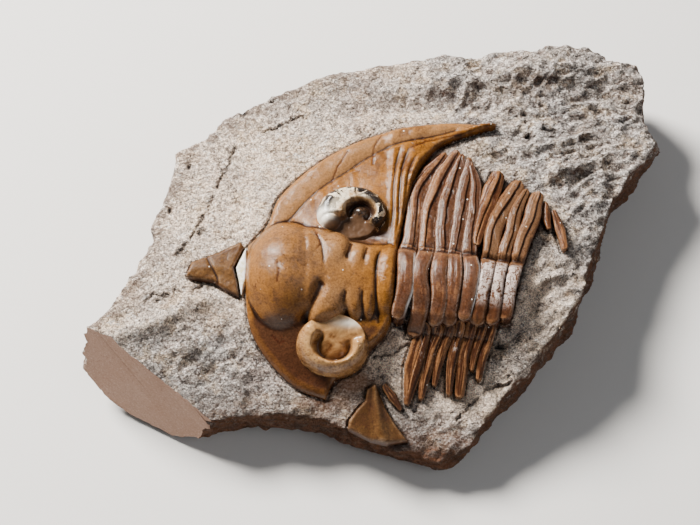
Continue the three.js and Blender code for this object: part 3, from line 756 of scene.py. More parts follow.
def rock_top(x, y, outlines):
    """The limestone's height, how strongly shade and light are painted from its hollows,
    and the masks that its material reads.
    """
    right, slope, back, painted_light_zone = rock_zones(x, y)
    scraped = np.clip(right + 0.8 * slope + back - 0.5 * painted_light_zone + 0.3 * hill(x + 33, y + 16, 10, 6), 0.0, 1.0)
    # Painted light: the stone is painted pale again in these zones.
    painted_light_patch = np.clip(1.3 * painted_light_zone, 0, 1)

    # Scoops on the right of the slab; the slopes roll more softly, and the edge of the saw cut stays even.
    base = bed(x, y)
    warp, grit, swell = wander(x, y, 6.0, 2, 31.0), wander(x, y, 1.3, 3, 5.0), wander(x, y, 9.0, 2, 21.0)
    large = scoops(x * 0.75 + 2 * warp, y * 1.15, 5.0, 3.0)
    along, across = 0.90 * x + 0.44 * y, 0.90 * y - 0.44 * x
    small = scoops(0.5 * along, 1.15 * across + 0.6 * warp, 2.4, 7.0)
    rolls = wander(0.80 * x + 0.30 * y, 0.9 * y - 0.40 * x, 6.5, 3, 12.0)
    inland = ease(0.0, 6.0, SAW_OFFSET - (SAW_NORMAL[0] * x + SAW_NORMAL[1] * y + SAW_NORMAL[2] * base))
    rough = 0.35 * wander(x, y, 12.0, 3, 1.0) + 0.12 * grit * (0.6 + scraped) + 0.30 * small * (1.0 - scraped)
    rough = rough + inland * right * (0.75 * large + 0.95 * small + 1.4 * swell)
    rough = rough + inland * (slope + 0.8 * back) * (1.1 * rolls + 0.55 * small)
    for line, width, height in RIDGES:
        rough = rough + height * bump(distance_to(x + 0.6 * grit, y, line), width)
    for line, width, depth in TRENCHES:
        rough = rough - depth * bump(distance_to(x, y + 0.6 * grit, line), width)

    crack, pit, fill = np.zeros((3, len(x)))
    for line in HAIRLINES:
        d = distance_to(x + 0.5 * grit, y - 0.5 * grit, line)
        crack = np.maximum(crack, bump(d, 0.24) * ease(-0.35, 0.0, grit + 0.1))
    for px, py, rx, ry in PITS:
        pit = np.maximum(pit, hill(x - px + 0.8 * grit, y - py + 0.8 * small, rx, ry))
    for line in PLASTER_LINES:
        fill = np.maximum(fill, np.exp(-((distance_to(x + 0.15 * grit, y, line) / 0.3) ** 4)))

    # The seam runs all round the shell, and most strongly along the right cheek; its dark line is partly dark
    # mineral and partly painted shade.
    away = np.min([distance_to(x, y, outline) for outline in outlines], axis=0)
    inside = np.any([within(x, y, outline) for outline in outlines], axis=0)
    cheek_line = bump(distance_to(x, y, smooth_line(CHEEK_EDGE, 60)), 0.42)
    seam = np.where(inside, 0.0, np.maximum(bump(away, 0.26), cheek_line))
    seam_mineral_and_shade = seam * np.clip(0.45 + 0.8 * grit + cheek_line, 0.15, 1.0)
    cuts = CRACK_DEPTH * crack + PIT_DEPTH * np.clip(pit, 0, 1) + SEAM_DEPTH * seam - PLASTER_HEIGHT * fill
    level = base + rough * (1.0 - 0.8 * bump(away, 2.2)) + mould(x, y) - cuts
    # Painted light: stone in the shell's shadow is painted back to pale, in patches.

    # Painted shade: the stone under the shell and just round its edges.
    under = np.where(inside, 1.0, bump(away, 0.7)) * (hill(x - 12, y + 1, 16, 17) > 0.3)
    # How strongly shade and light are painted from the hollows: none under the shell, less near it and in
    # light patches.
    hollow_shade_share = np.where(inside, 0.0, ease(0.8, 5.0, away)) * (1.0 - 0.9 * painted_light_patch)
    return level, hollow_shade_share, {
        "scraped": scraped,
        "seam": np.maximum(seam_mineral_and_shade, crack * 0.9),
        # Pits, for painted shade.
        "pit": np.clip(pit * 1.4, 0, 1) ** 2,
        "under": under * (1 - fill),
        "plaster": fill,
        "rim": ease(6.0, 0.5, distance_to(x, y, closed(SLAB_OUTLINE))) * ease(10, 0, x),
        "painted_light_patch": painted_light_patch,
    }


def slab_blank(grain):
    """The slab's outline raised through its flank's steps, in even quads."""
    clear_selection()
    bpy.ops.mesh.primitive_circle_add(vertices=len(SLAB_OUTLINE), radius=1.0, fill_type="NGON")
    slab = bpy.context.object
    slab.name = "slab_of_limestone"
    foot = np.zeros((len(SLAB_OUTLINE), 3))
    foot[:, :2] = np.array(SLAB_OUTLINE) * SLAB_FLANK[0][1]
    place(slab, foot)

    def grow():
        for (z0, share0), (z1, share1) in zip(SLAB_FLANK, SLAB_FLANK[1:]):
            raise_by(z1 - z0)
            ratio = share1 / share0
            bpy.ops.transform.resize(value=(ratio, ratio, 1.0), center_override=(0, 0, 0))

    edit(slab, grow, face_outwards)
    apply(slab, "REMESH", mode="VOXEL", voxel_size=grain * MM)
    return slab


def refine(slab, lines):
    """Halves the faces of the upper side that lie along the lines."""
    x, y, _ = points(slab).T
    away = np.min([distance_to(x, y, line) for line in lines], axis=0)
    fine = (away < 1.0) & (normals(slab)[:, 2] > 0.7)
    corners = read(slab.data.loops, "vertex_index", kind=np.int64)
    starts = read(slab.data.polygons, "loop_start", kind=np.int64)

    def halve():
        select_nothing()
        slab.data.vertices.foreach_set("select", fine)
        slab.data.polygons.foreach_set("select", np.logical_and.reduceat(fine[corners], starts))
        bpy.ops.object.mode_set(mode="EDIT")
        bpy.ops.mesh.select_mode(type="FACE")
        bpy.ops.mesh.subdivide(number_cuts=1)
        bpy.ops.mesh.select_mode(type="VERT")

    edit(slab, halve)


def break_flanks(slab):
    """Flat-sided lumps and finer roughness on the flanks, never below the foot, and an uneven base."""
    xyz = points(slab)
    x, y, z = xyz.T
    outwards = normals(slab)
    flank_share = (1.0 - ease(0.35, 0.8, np.abs(outwards[:, 2]))) * ease(0.0, 1.5, z)
    lumps = facets(x, y, z * 1.5, 7.0, 2.0) - 0.45
    chips = facets(x, y, z * 1.3, 2.4, 9.0) - 0.45
    rough = wander(x, y, 1.6, 4, 4.0, z=2.0 * z)
    push = -(1.5 * np.clip(lumps, -0.3, 1) + 0.7 * chips + 0.4 * rough) * flank_share
    x, y, z = (xyz + outwards * np.clip(push, -2.2, 0.9)[:, None]).T
    base = (z < 4) & (outwards[:, 2] < -0.5)
    uneven = np.clip(0.25 * rough + 0.1, 0.0, 0.6) * ease(0.0, 1.0, np.hypot(x, y) / 14 - 1)
    xyz = np.stack([x, y, np.maximum(z, 0.0) + np.where(base, uneven, 0.0)], axis=1)
    place(slab, xyz)


def model_slab(settings):
    slab = slab_blank(settings.grain)
    outlines = shell_outlines()
    refine(slab, outlines + HAIRLINES)

    # The blank's level top becomes the limestone's surface, and its flank follows.
    xyz = points(slab)
    x, y, z = xyz.T
    xyz[:, 2] = rock_top(x, y, outlines)[0] * np.clip(z / SLAB_FLANK[-1][0], 0.0, 1.0)
    place(slab, xyz)
    break_flanks(slab)

    # The sawn end is a flat cut, filled with one face.
    edit(slab, lambda: bpy.ops.mesh.bisect(
        plane_co=SAW_NORMAL * SAW_OFFSET * MM, plane_no=SAW_NORMAL, use_fill=True, clear_outer=True))

    x, y, z = points(slab).T
    top, hollow_shade_share, masks = rock_top(x, y, outlines)
    surface = ease(1.6, 0.6, top - z)
    note(slab, "scraped", np.maximum(masks.pop("scraped"), 0.85 * (1 - surface)))
    for name, values in masks.items():
        note(slab, name, values * surface)
    stain = hill(x + 5.5, y + 24.5, 3.6, 2.4) + 0.8 * hill(x + 4.2, y + 25.6, 2.6, 1.4)
    stain = stain + 0.7 * hill(x + 9, y + 28.5, 5, 1.2) + 0.5 * hill(x - 1.5, y + 18.8, 2.5, 1.5)
    note(slab, "stain", np.clip(stain * surface, 0, 1))
    # Flanks facing away from the light at the right and near left, and the low flank all round, take painted
    # shade and a painted warm bounce.
    broken = np.maximum(ease(-8, 4, x + y * 0.6 - 6), ease(-22, -27, y) * ease(-34, -28, x))
    note(slab, "flank", np.clip(ease(0.75, 0.35, normals(slab)[:, 2]) * broken + ease(12.0, 6.0, z), 0, 1))
    # Hollows and rises, for the painted shade and painted highlights of the limestone.
    note_hollows(slab, np.maximum(hollow_shade_share, 1 - surface), hollow=(5, 0.40), deep_hollow=(30, 1.2))
    finish_piece(slab, limestone(settings.pale, settings.grey, settings.dark), "limestone_slab")
    slab.data.materials.append(sawn_stone())
    for face in slab.data.polygons:
        if face.normal.dot(SAW_NORMAL) > 0.999 and face.area > 1e-5:
            face.material_index = 1
            face.use_smooth = False


# ---- the head
HEAD_BLANK = 3.0
HEAD_THICKNESS = 0.9
DOMES = [  # x, y, half length, half width, turn, height
    (-7.6, -5.0, 3.1, 4.5, -0.12, 6.3),
    (-8.9, -14.4, 4.7, 3.3, 0.6, 6.3),
    (-3.9, -6.6, 2.2, 3.9, -0.1, 5.7),
    (-4.6, -13.5, 2.2, 3.5, 0.25, 5.7),
    (-1.6, -7.2, 1.5, 3.6, 0.0, 5.4),
    (-2.1, -13.5, 1.5, 3.4, 0.0, 5.4),
]
HEAD_FURROWS = [  # line, width, depth
    ([(-13.2, 0.9), (-11.6, -1.6), (-10.2, -4.0), (-9.8, -6.6), (-9.6, -9.0)], 0.35, 0.30),
    ([(-9.6, -10.4), (-10.6, -12.4), (-11.9, -14.6), (-13.7, -17.2)], 1.0, 1.0),
    ([(-4.9, -3.4), (-5.4, -5.6), (-5.9, -7.2)], 0.5, 0.5),
    ([(-2.2, -4.2), (-2.6, -6.0), (-3.0, -7.4)], 0.35, 0.35),
    ([(-5.8, -12.2), (-6.3, -14.0), (-6.6, -16.6)], 0.45, 0.30),
    ([(-3.0, -12.0), (-3.3, -14.0), (-3.5, -16.8)], 0.35, 0.22),
    ([(0.2, -4.6), (-0.6, -7.5), (-0.8, -11.0), (-0.7, -14.0), (-0.3, -16.8)], 0.28, 0.55),
    ([(-18.0, -8.0), (-14.0, -8.6), (-11.6, -8.4)], 0.9, 0.22),
    ([(3.6, 15.4), (2.9, 12.0), (2.4, 7.0), (2.3, 2.3), (1.9, -1.8)], 0.36, 0.5),
    ([(5.2, 15.4), (4.1, 12.0), (3.5, 7.0), (3.3, 2.3), (2.7, -2.2)], 0.34, 0.6),
    ([(6.6, 14.4), (5.3, 11.0), (4.5, 6.0), (3.9, 1.3)], 0.28, 0.5),
]

HEAD_MARKS = [  # cracks and scratches in the shell, stained dark red
    [(-13.6, 1.0), (-12.0, 0.2), (-10.9, -2.2), (-10.3, -4.2), (-10.9, -5.2)],
    [(-17.6, -8.2), (-17.3, -9.6), (-17.6, -11.4)],
    [(-8.4, 9.0), (-7.4, 12.0), (-5.6, 15.2)],
    [(-1.2, 12.6), (-0.9, 16.0), (0.4, 18.4)],
    [(-18.6, -18.4), (-17.4, -19.6), (-16.6, -19.4)],
    [(-12.4, -17.9), (-10.6, -18.0), (-8.8, -17.4), (-6.9, -17.0)],
    [(5.6, 15.6), (8.2, 17.0), (11.6, 18.0), (14.6, 18.6)],
]


def dome(x, y, cx, cy, rx, ry, turn, height, power, corner=2.0):
    """A turned dome: a lower power stands steeper at its foot, and a higher corner is squarer in plan."""
    dx, dy = x - cx, y - cy
    u = (dx * math.cos(turn) + dy * math.sin(turn)) / rx
    w = (dy * math.cos(turn) - dx * math.sin(turn)) / ry
    return height * np.clip(1.0 - np.hypot(u, w) ** corner, 0.0, 1.0) ** power


def head_rise(x, y):
    """The head shield's height above the bedding."""
    v = y - axis_y(x)
    out, _, side = from_line(x, y, smooth_line(BORDER_FURROW, 60))
    edge = distance_to(x, y, smooth_line(CHEEK_EDGE, 60))
    field = 1.35 + 1.5 * ease(0.0, 8.0, out) + 0.22 * ease(0.0, 0.3, out)
    roll = 1.15 + 0.4 * np.sin(np.pi * np.clip(edge / np.maximum(edge + out, 0.1), 0, 1)) ** 0.7
    right = np.where(side > 0, roll, field) - 0.16 * bump(out, 0.4)
    fold = 0.5 * ease(1.2, 2.6, x) * ease(6.0, 3.0, x - 0.12 * v) * ease(3.0, 7.0, v)
    margin = distance_to(x, y, smooth_line(LEFT_EDGE, 60))
    left = 0.8 + 2.6 * ease(0.0, 8.5, margin) + 0.25 * bump(margin - 0.9, 0.6)
    cheek = np.where(v > 0, right + fold, left)
    half = np.interp(x, [-14, -9, -5, -2, 3], [8.8, 8.2, 6.8, 6.3, 6.6])
    top = np.interp(x, [-14, -9, -5, -2, 3], [6.8, 6.5, 6.0, 5.7, 5.3])
    rib = ease(-16.5, -12.0, x) * (x < 3.6) * top * np.clip(1 - np.abs(v / half) ** 4.0, 0, 1) ** 0.5
    front = dome(x, y, -16.1, -8.2, 7.4, 9.8, 0.0, 7.5, 0.52, 2.3)
    ring_x = np.interp(y, [-16.5, -10, -4.5], [0.5, 1.2, 1.6])
    ring = dome(x, v, ring_x, 0.0, 1.9, 6.9, 0.0, 5.8, 0.5, 2.8)
    lobes = [dome(x, y, *lobe, 0.45, 2.5) for lobe in DOMES]
    rise = blend_max([cheek, rib, front, ring, *lobes], 0.42) - 1.0 * hill(x + 3.2, y + 1.5, 3.6, 1.6)
    for line, width, depth in HEAD_FURROWS:
        d, t, _ = from_line(x, y, smooth_line(line, 16))
        fade = ease(0.0, 0.15, t) * ease(1.0, 0.8, t)
        rise = rise - depth * (0.3 + 0.7 * fade) * bump(d, width)
    return rise


def model_head(settings):
    parts = [(CHEEK_EDGE, 60), (BACK_EDGE, 50), (LEFT_BREAK, 30), (LEFT_EDGE, 40)]
    outline = np.concatenate([smooth_line(line, count)[:-1] for line, count in parts])
    head = cut_out("head_of_shell", outline, HEAD_BLANK, settings.grain)
    xyz = points(head)
    x, y, z = xyz.T
    rounding = 0.35 + 0.65 * quarter_round(distance_to(x, y, closed(outline)) / 0.9)
    ripple = 0.04 * wander(x, y, 1.4, 3, 2.0) + 0.16 * wander(x, y, 4.5, 2, 6.0)
    chips = ease(0.25, 0.5, wander(x, y, 2.2, 4, 3.3)) * (0.4 + 0.6 * (x > 0.5))
    marks = np.max([bump(distance_to(x + ripple, y - ripple, line), 0.16) for line in HEAD_MARKS], axis=0)
    low = bed(x, y) + mould(x, y) - HEAD_THICKNESS
    high = bed(x, y) + (head_rise(x, y) + ripple) * rounding - 0.08 * chips - 0.10 * marks
    for cx, cy, rx, ry, *_ in EYES.values():
        # The shell dips beneath each eye, so it cannot show through the eye's groove.
        high = high - 0.8 * ease(0.92, 0.70, np.hypot((x - cx) / rx, (y - cy) / ry))
    xyz[:, 2] = low + (np.maximum(high, low + 0.2) - low) * np.clip(z / HEAD_BLANK, 0.0, 1.0)
    place(head, xyz)
    note_hollows(head, hollow=(26, 0.55), fine_hollow=(4, 0.10))

    v = y - axis_y(x)
    border = (from_line(x, y, smooth_line(BORDER_FURROW, 60))[2] > 0) & (v > 3)
    lobes = 1.2 * hill(x + 6.5, y + 4.5, 4, 4) + hill(x + 8, y + 14.5, 5, 3.5)
    lobes = lobes + 0.6 * hill(x + 16, y + 7, 8, 8)
    pale = 0.5 * hill(x + 6, y + 5, 4, 4) + 0.4 * hill(x + 9, y + 15, 4, 3)
    pale = pale + 0.38 * border * ease(-21, -14, x)
    # Painted shade in the pocket between the right eye and the glabella, where the surface also dips.
    dark = 0.1 * hill(x + 16, y + 9, 7, 9) + 1.1 * hill(x + 3, y + 1.3, 3.8, 1.6) + 0.75 * ease(-7.6, -9.6, v)
    note(head, "tone", pale - dark)
    note(head, "marks_and_shade_lines", np.clip(marks + 0.5 * chips * (x > 2.0), 0, 1))
    note(head, "grey", np.clip(lobes + 0.9 * border, 0, 1))
    finish_piece(head, shell("head_shell", settings.light, settings.mid, settings.deep, settings.furrow),
                 "head_shield")


# ---- the eyes
EYE_SIDES, EYE_RINGS = 240, 40


def eye_blank(name):
    """A cylinder of radius 1, its top divided into rings."""
    clear_selection()
    bpy.ops.mesh.primitive_cylinder_add(vertices=EYE_SIDES, radius=1.0, depth=1.0, end_fill_type="NGON")
    eye = bpy.context.object
    eye.name = name + "_of_shell"

    def inset_top():
        select_nothing()
        for face in eye.data.polygons:
            face.select = face.normal.z > 0.9
        bpy.ops.object.mode_set(mode="EDIT")
        for _ in range(EYE_RINGS):
            bpy.ops.mesh.inset(thickness=1.0 / (EYE_RINGS + 1), depth=0.0)

    edit(eye, inset_top)
    return eye


def model_eye(name, opening, gap, pit, groove_at, lid_height, lid_slope, knob, bulb=None):
    """A crescent turret: a steep wall of lenses and a rounded crest, open towards the lobe of the eyelid.

    Places across it are shares of its half sizes, and heights are shares of its height. The crescent lies
    round the pit, with its groove at groove_at from it, and is open where the direction's cosine with opening
    is over gap. The lid has a knob in the pit, and a bulb (place, height) can end the crescent.
    """
    cx, cy, rx, ry, height, foot = EYES[name]
    eye = eye_blank(name)
    px, py, pz = (points(eye) * MM).T
    r = np.hypot(px, py)
    ox, oy = np.array(opening) / math.hypot(*opening)
    dx, dy = px - pit[0], py - pit[1]
    q = np.hypot(dx, dy)
    towards_opening = dx * ox + dy * oy
    arc = 1.0 - ease(gap, gap + 0.4, towards_opening / np.maximum(q, 0.05))
    lid = lid_height + lid_slope * towards_opening + knob * bump(q, 0.6 * groove_at)
    crest = arc * ease(groove_at - 0.02, groove_at + 0.24, q)
    groove = bump(q - groove_at, 0.09) * arc
    wall = np.sqrt(1.0 - np.clip((r - 0.70) / 0.30, 0.0, 1.0) ** 2)
    edge = wall * arc + ease(1.0, 0.90, r) * (1 - arc)
    rise = height * edge * (lid + (1.0 - lid) * crest - 0.20 * groove)
    if bulb:
        bx, by, bulb_height = bulb
        rounded = dome(px, py, bx, by, 0.32, 0.36, 0.0, bulb_height * height, 0.5)
        rise = np.maximum(rise, rounded * ease(1.0, 0.93, r))
    x, y = cx + rx * px, cy + ry * py
    ripple = 0.16 * wander(x, y, 2.2, 3, 8.0)
    z = np.where(pz > 0, bed(x, y) + foot + rise + ripple * edge, bed(x, y) + 0.4)
    place(eye, np.stack([x, y, z], axis=1))
    edit(eye, face_outwards)
    note_hollows(eye, hollow=(16, 0.4), fine_hollow=(3, 0.06))
    crescent = arc * ease(groove_at + 0.06, groove_at + 0.22, q) * (0.45 + 0.55 * ease(0.55, 0.80, r))
    note(eye, "band", crescent + 0.6 * ease(groove_at, 0.5 * groove_at, q))
    note(eye, "lenses", ease(0.66, 0.76, r) * ease(1.0, 0.96, r) * arc)
    return eye, px, py, crest, groove


def model_eyes(settings):
    eye, px, py, crest, groove = model_eye(
        "right_eye", opening=(-0.35, -0.94), gap=0.42, pit=(0.22, -0.02), groove_at=0.30,
        lid_height=0.40, lid_slope=-0.30, knob=0.16, bulb=(-0.62, -0.26, 0.92))
    blob = hill(px + 0.86, py + 0.22, 0.26, 0.26)
    # A dark outline round the foot of the pale front end, painted as shade.
    rim = ease(0.88, 0.96, np.hypot(px + 0.22, py - 0.02)) * hill(px + 1.05, py + 0.25, 0.40, 0.55)
    # Painted shade on the lid where it slopes down towards the glabella, off the crest; a pale patch at the
    # front end.
    note(eye, "tone", -0.60 + crest - 0.3 * ease(0.0, 0.6, -py + 0.5 * px) * (1 - crest) + 0.9 * blob)
    note(eye, "blob", np.clip(1.4 * blob, 0, 1))
    # Painted shade in the groove, on its upper side, and round the pale end.
    note(eye, "pit", np.maximum(groove * ease(-0.35, 0.25, 0.8 * py + 0.5 * px), rim))
    pale = eye_lens("right_eye", settings.pale, (0.42, 0.25, 0.11), (0.070, 0.036, 0.018), 1.0)
    finish_piece(eye, pale, "right_eye")

    eye, px, py, crest, groove = model_eye(
        "left_eye", opening=(0.32, 0.95), gap=0.30, pit=(0.03, -0.08), groove_at=0.43,
        lid_height=0.52, lid_slope=0.24, knob=0.05)
    # Painted highlights: a spot of shine on the lid and a lighter crest.
    shine = hill(px - 0.50, py - 0.62, 0.45, 0.14)
    crest_highlight = 0.30 * crest * ease(0.95, 0.75, np.hypot(px, py))
    note(eye, "tone", -0.02 + crest_highlight + 0.35 * ease(0.1, 0.6, py) * (1 - crest))
    note(eye, "blob", np.clip(shine * 0.7, 0, 1))
    # Painted shade in the groove.
    note(eye, "pit", groove)
    tan = eye_lens("left_eye", (0.50, 0.28, 0.105), settings.tan, (0.11, 0.040, 0.010), 0.0)
    finish_piece(eye, tan, "left_eye")


# ---- bars bent along a route
ROUTE_STEPS = 200


def bend(piece, route, widths, top, sway, seed):
    """Bends a block along a route: top(x, y, s, u, centre, half) is its height, s runs along and u across."""
    raw = points(piece) * MM
    s, u = 0.5 * (raw[:, 0] + 1.0), raw[:, 1]
    line = smooth_line(route, ROUTE_STEPS)
    steps = np.arange(ROUTE_STEPS)
    swing = sway * wander(np.full(ROUTE_STEPS, seed), line[:, 1], 7.0, 2, seed)
    line[:, 0] += swing * ease(0, 0.1, steps / ROUTE_STEPS)
    way = directions(line)
    at = s * (ROUTE_STEPS - 1)
    centre = np.stack([np.interp(at, steps, line[:, k]) for k in (0, 1)], axis=1)
    ahead = np.stack([np.interp(at, steps, way[:, k]) for k in (0, 1)], axis=1)
    half = np.interp(s, np.linspace(0, 1, len(widths)), widths)
    length = np.linalg.norm(np.diff(line, axis=0), axis=1).sum()
    rounding = 1 - np.clip(np.minimum(s, 1 - s) * length / np.maximum(0.8 * half, 0.2), 0, 1)
    half = half * np.sqrt(np.clip(1 - rounding**2, 0.03, 1))
    ragged = 1.0 + 0.10 * wander(s * length, np.sign(u) * 9.0 + seed, 3.6, 4, seed)
    x = centre[:, 0] + ahead[:, 1] * half * u * ragged
    y = centre[:, 1] - ahead[:, 0] * half * u * ragged
    z = np.where(raw[:, 2] > -0.5, top(x, y, s, u, centre, half), underside(x, y))
    place(piece, np.stack([x, y, z], axis=1))
    edit(piece, face_outwards)
    return x, y, s, u


RING_RISE = 0.6


def plate_section(u, half, step, drift):
    """Height across a plate about its crest: arched, with layers of shell that end in low steps along it."""
    ledges = 0.24 * ease(drift, drift + 0.14, u) + 0.12 * ease(drift - 0.55, drift - 0.70, u)
    return -0.30 * half * np.abs(u) ** 3.6 - step * half * ledges


def ring_section(u, half):
    """Height across a ring: arched, and higher towards the tail, where it laps over the next ring."""
    return 0.10 * half * u - 0.42 * half * np.abs(u) ** 3.6


def layers(x, y, seed):
    """1 where an outer layer of a plate has flaked away, 0 where it is left."""
    return ease(0.10, 0.17, wander(x * 1.4, y * 0.6, 2.0, 3, seed + 5.0))


def streaks(s, u, seed):
    """Light and dark streaks along a plate, about 0."""
    return 1.5 * wander(2.6 * u, 2.0 * s, 1.0, 4, seed)


def striae(s, u, half, seed):
    """Fine ridges along a plate, as of shell split into layers."""
    return 0.10 * half * wander(u * half * 1.6, s * 1.6, 1.0, 3, seed)


def model_segments(settings):
    light, ring, deep, furrow = settings.ring_light, settings.ring, settings.deep, settings.furrow
    rings = shell("ring_shell", light, ring, deep, furrow, wear_and_rim_highlight=0.9, specular=0.21)
    for number, (route, widths) in enumerate(SEGMENTS, 1):
        piece = bar(f"segment_{number}_of_shell", 190, 26)
        seed = 3.1 * number

        def drift(s):
            """Where the furrow of the side plate lies across it."""
            return 0.15 * math.sin(1.9 * number) + 0.7 * (s - 0.7) * (-1) ** number

        def top(x, y, s, u, centre, half):
            cx, cy = centre.T
            v = cy - axis_y(cx)
            side_plate = ease(5.2, 6.4, v)
            ends = 0.30 * bump(v + 5.7, 0.8) - 0.95 * bump(v - 5.7, 0.6) - 0.25 * ease(-7.0, -9.0, v)
            plate = plate_section(u, half, 1.0, drift(s))
            body = ring_section(u, half) * (1 - side_plate) + plate * side_plate
            fine = 0.3 * striae(s, u, half, seed) - layers(x, y, seed) * (0.02 + 0.05 * side_plate)
            return bed(cx, cy) + trunk(cx, cy) + RING_RISE + ends + body + fine

        x, y, s, u = bend(piece, route, widths, top, 0.45, seed)
        note_hollows(piece, hollow=(22, 0.30), fine_hollow=(4, 0.05))
        v = y - axis_y(x)
        side_plate, far_plate = ease(5.5, 7.5, v), ease(5, 8, v)
        middle, hindmost = number in (3, 4, 5), number >= 6
        # Painted shade: dark lines along each ring's edges, where it meets its neighbours, and in its side
        # plate's furrow.
        plate_furrow_shade = 0.75 * bump(u - drift(s) - 0.07, 0.09) * side_plate
        note(piece, "marks_and_shade_lines", np.maximum(0.8 * ease(0.86, 0.95, np.abs(u)), plate_furrow_shade))

        # White glue lies behind rings 1 and 5, and the crests of the hindmost rings are worn pale.
        glue = (number == 1) * ease(0.80, 0.88, u) * ease(-7, -4, v)
        glue = glue + (number == 5) * ease(0.84, 0.92, u) * ease(-6, -3, v)
        note(piece, "filled", glue * ease(5.0, 3.0, v))
        fresh = 0.03 + 0.03 * layers(x, y, seed) * ease(5, 7, v)
        # Painted highlight: a thin pale line along each ring's rims.
        rim_highlight = 0.5 * bump(np.abs(u) - 0.80, 0.06) * ease(-9.0, -4.0, v)
        pale_ring = ease(-4.0, -1.5, v) * ease(5.2, 3.6, v)
        note(piece, "wear_and_rim_highlight", pale_ring if hindmost else np.maximum(fresh, rim_highlight))

        # Tone per ring and plate, with painted shade towards the near side, where the rings curve down away
        # from the light.
        shade = 0.20 * math.sin(5.1 * number) - 0.45 * ease(-2.0, -6.0, v) - 0.45 * hindmost * ease(2, 6, v)
        shade = shade - middle * (0.30 + 0.75 * far_plate) + 0.22 * (number <= 2) * far_plate
        # Painted highlight: a lighter stripe along each side plate, on its side towards the light.
        crest = (0.6 * bump(u + 0.40, 0.25) - 0.25) * side_plate
        blotches = 0.5 * wander(x, y, 2.2, 3, 4.0)
        note(piece, "tone", shade + crest + blotches + streaks(s, u, seed) * (0.35 + 0.65 * side_plate))
        note(piece, "grey", 0.6 * hindmost * ease(3, 6, v))
        finish_piece(piece, rings, f"thoracic_segment_{number}")


def model_side_plates(settings):
    light, ring, deep, furrow = settings.ring_light, settings.ring, settings.deep, settings.furrow
    brown = shell("plate_shell", light, ring, deep, furrow, wear_and_rim_highlight=0.4, specular=0.21)
    # A darker copy of the plate shell for the left plates: painted shade, as they lie on the side away from
    # the light.
    dark = shell("left_plate_shaded_shell", light, deep, settings.darkest, furrow, wear_and_rim_highlight=0.3)

    def grooved(lift, seed):
        def top(x, y, s, u, centre, half):
            cx, cy = centre.T
            body = plate_section(u, half, 1.1, 0.6 * (s - 0.5) + 0.2 * math.sin(3.0 * seed))
            return bed(cx, cy) + lift(cx, cy) + body + 0.5 * striae(s, u, half, seed)
        return top

    jobs = [("lone_plate_of_shell", LONE_PLATE, lambda x, y: relief(x, y) + 0.55, brown, "lone_side_plate")]
    jobs += [
        (f"left_plate_{i}_of_shell", plate, lambda x, y: trunk(x, y) + 0.25, dark, f"left_side_plate_{i}")
        for i, plate in enumerate(LEFT_PLATES, 1)
    ]
    jobs += [
        (f"loose_tip_{i}_of_shell", plate, lambda x, y: 1.6, brown, f"loose_plate_tip_{i}")
        for i, plate in enumerate(LOOSE_TIPS, 1)
    ]
    for number, (name, (route, widths), lift, material, node) in enumerate(jobs):
        seed = 1.7 * number
        piece = bar(name, 90, 24)
        x, y, s, u = bend(piece, route, widths, grooved(lift, seed), 0.3, 1.3 * number)
        note_hollows(piece, hollow=(10, 0.28), fine_hollow=(3, 0.05))
        note(piece, "tone", streaks(s, u, seed))
        spots = hill(x - 6.4, y + 21.6, 1.2, 2.4) + hill(x - 9.4, y + 20.2, 0.6, 2.6)
        note(piece, "wear_and_rim_highlight", 0.06 + 0.9 * np.clip(spots + hill(x - 13.2, y + 20.0, 0.6, 3.0), 0, 1))
        finish_piece(piece, material, node)


# ---- tongue, filler and stray piece
FLAT_BLANK = 2.0


def flat_piece(name, outline, grain, height, material, node):
    """A thin piece of the outline's shape; height(x, y) is measured from the bedding."""
    piece = cut_out(name, outline, FLAT_BLANK, grain)
    xyz = points(piece)
    x, y, z = xyz.T
    edge = distance_to(x, y, closed(outline))
    rounding = 0.45 + 0.55 * quarter_round(edge / 0.5)
    top = bed(x, y) + height(x, y) * rounding + 0.06 * wander(x, y, 1.3, 3, 5.0)
    low = underside(x, y)
    xyz[:, 2] = low + (top - low) * np.clip(z / FLAT_BLANK, 0, 1)
    place(piece, xyz)
    note_hollows(piece, hollow=(12, 0.25), fine_hollow=(3, 0.05))
    note(piece, "tone", -0.5 * ease(0.8, 0.2, edge))
    finish_piece(piece, material, node)


def model_flat_pieces(settings):
    dark = shell(
        "dark_shell", (0.15, 0.072, 0.022), settings.tongue, settings.deep, settings.furrow,
        roughness=0.34, specular=0.2)

    def tongue(x, y):
        crack = distance_to(x, y, [(-30.2, -4.6), (-29.4, -6.4), (-28.2, -8.6), (-28.0, -9.6)])
        fold = distance_to(x, y, [(-33.2, -7.4), (-28.6, -6.6), (-26.2, -7.2)])
        return 1.45 + 0.35 * bump(fold, 1.1) - 0.35 * bump(crack, 0.2)

    def stray(x, y):
        ridge, along, _ = from_line(x, y, [(-0.9, -26.0), (-0.7, -28.9), (-0.2, -32.1), (0.6, -35.3)])
        return 1.3 + 0.75 * bump(ridge, 0.5 + 0.8 * along)

    def filler(x, y):
        return 1.3

    flat_piece("tongue_of_shell", TONGUE, 0.2, tongue, dark, "head_tongue")
    flat_piece("stray_piece_of_shell", STRAY, 0.2, stray, dark, "stray_shell_piece")
    flat_piece("filler_in_the_break", BREAK_FILLER, 0.16, filler, plaster(), "break_filler")


# ---- the stage
CAMERA_ELEVATION = math.radians(68.0)
CAMERA_TARGET = Vector((-5.2, -4.1, 16.0)) * MM
CAMERA_DISTANCE = 0.345
CAMERA_LENS = 100.8


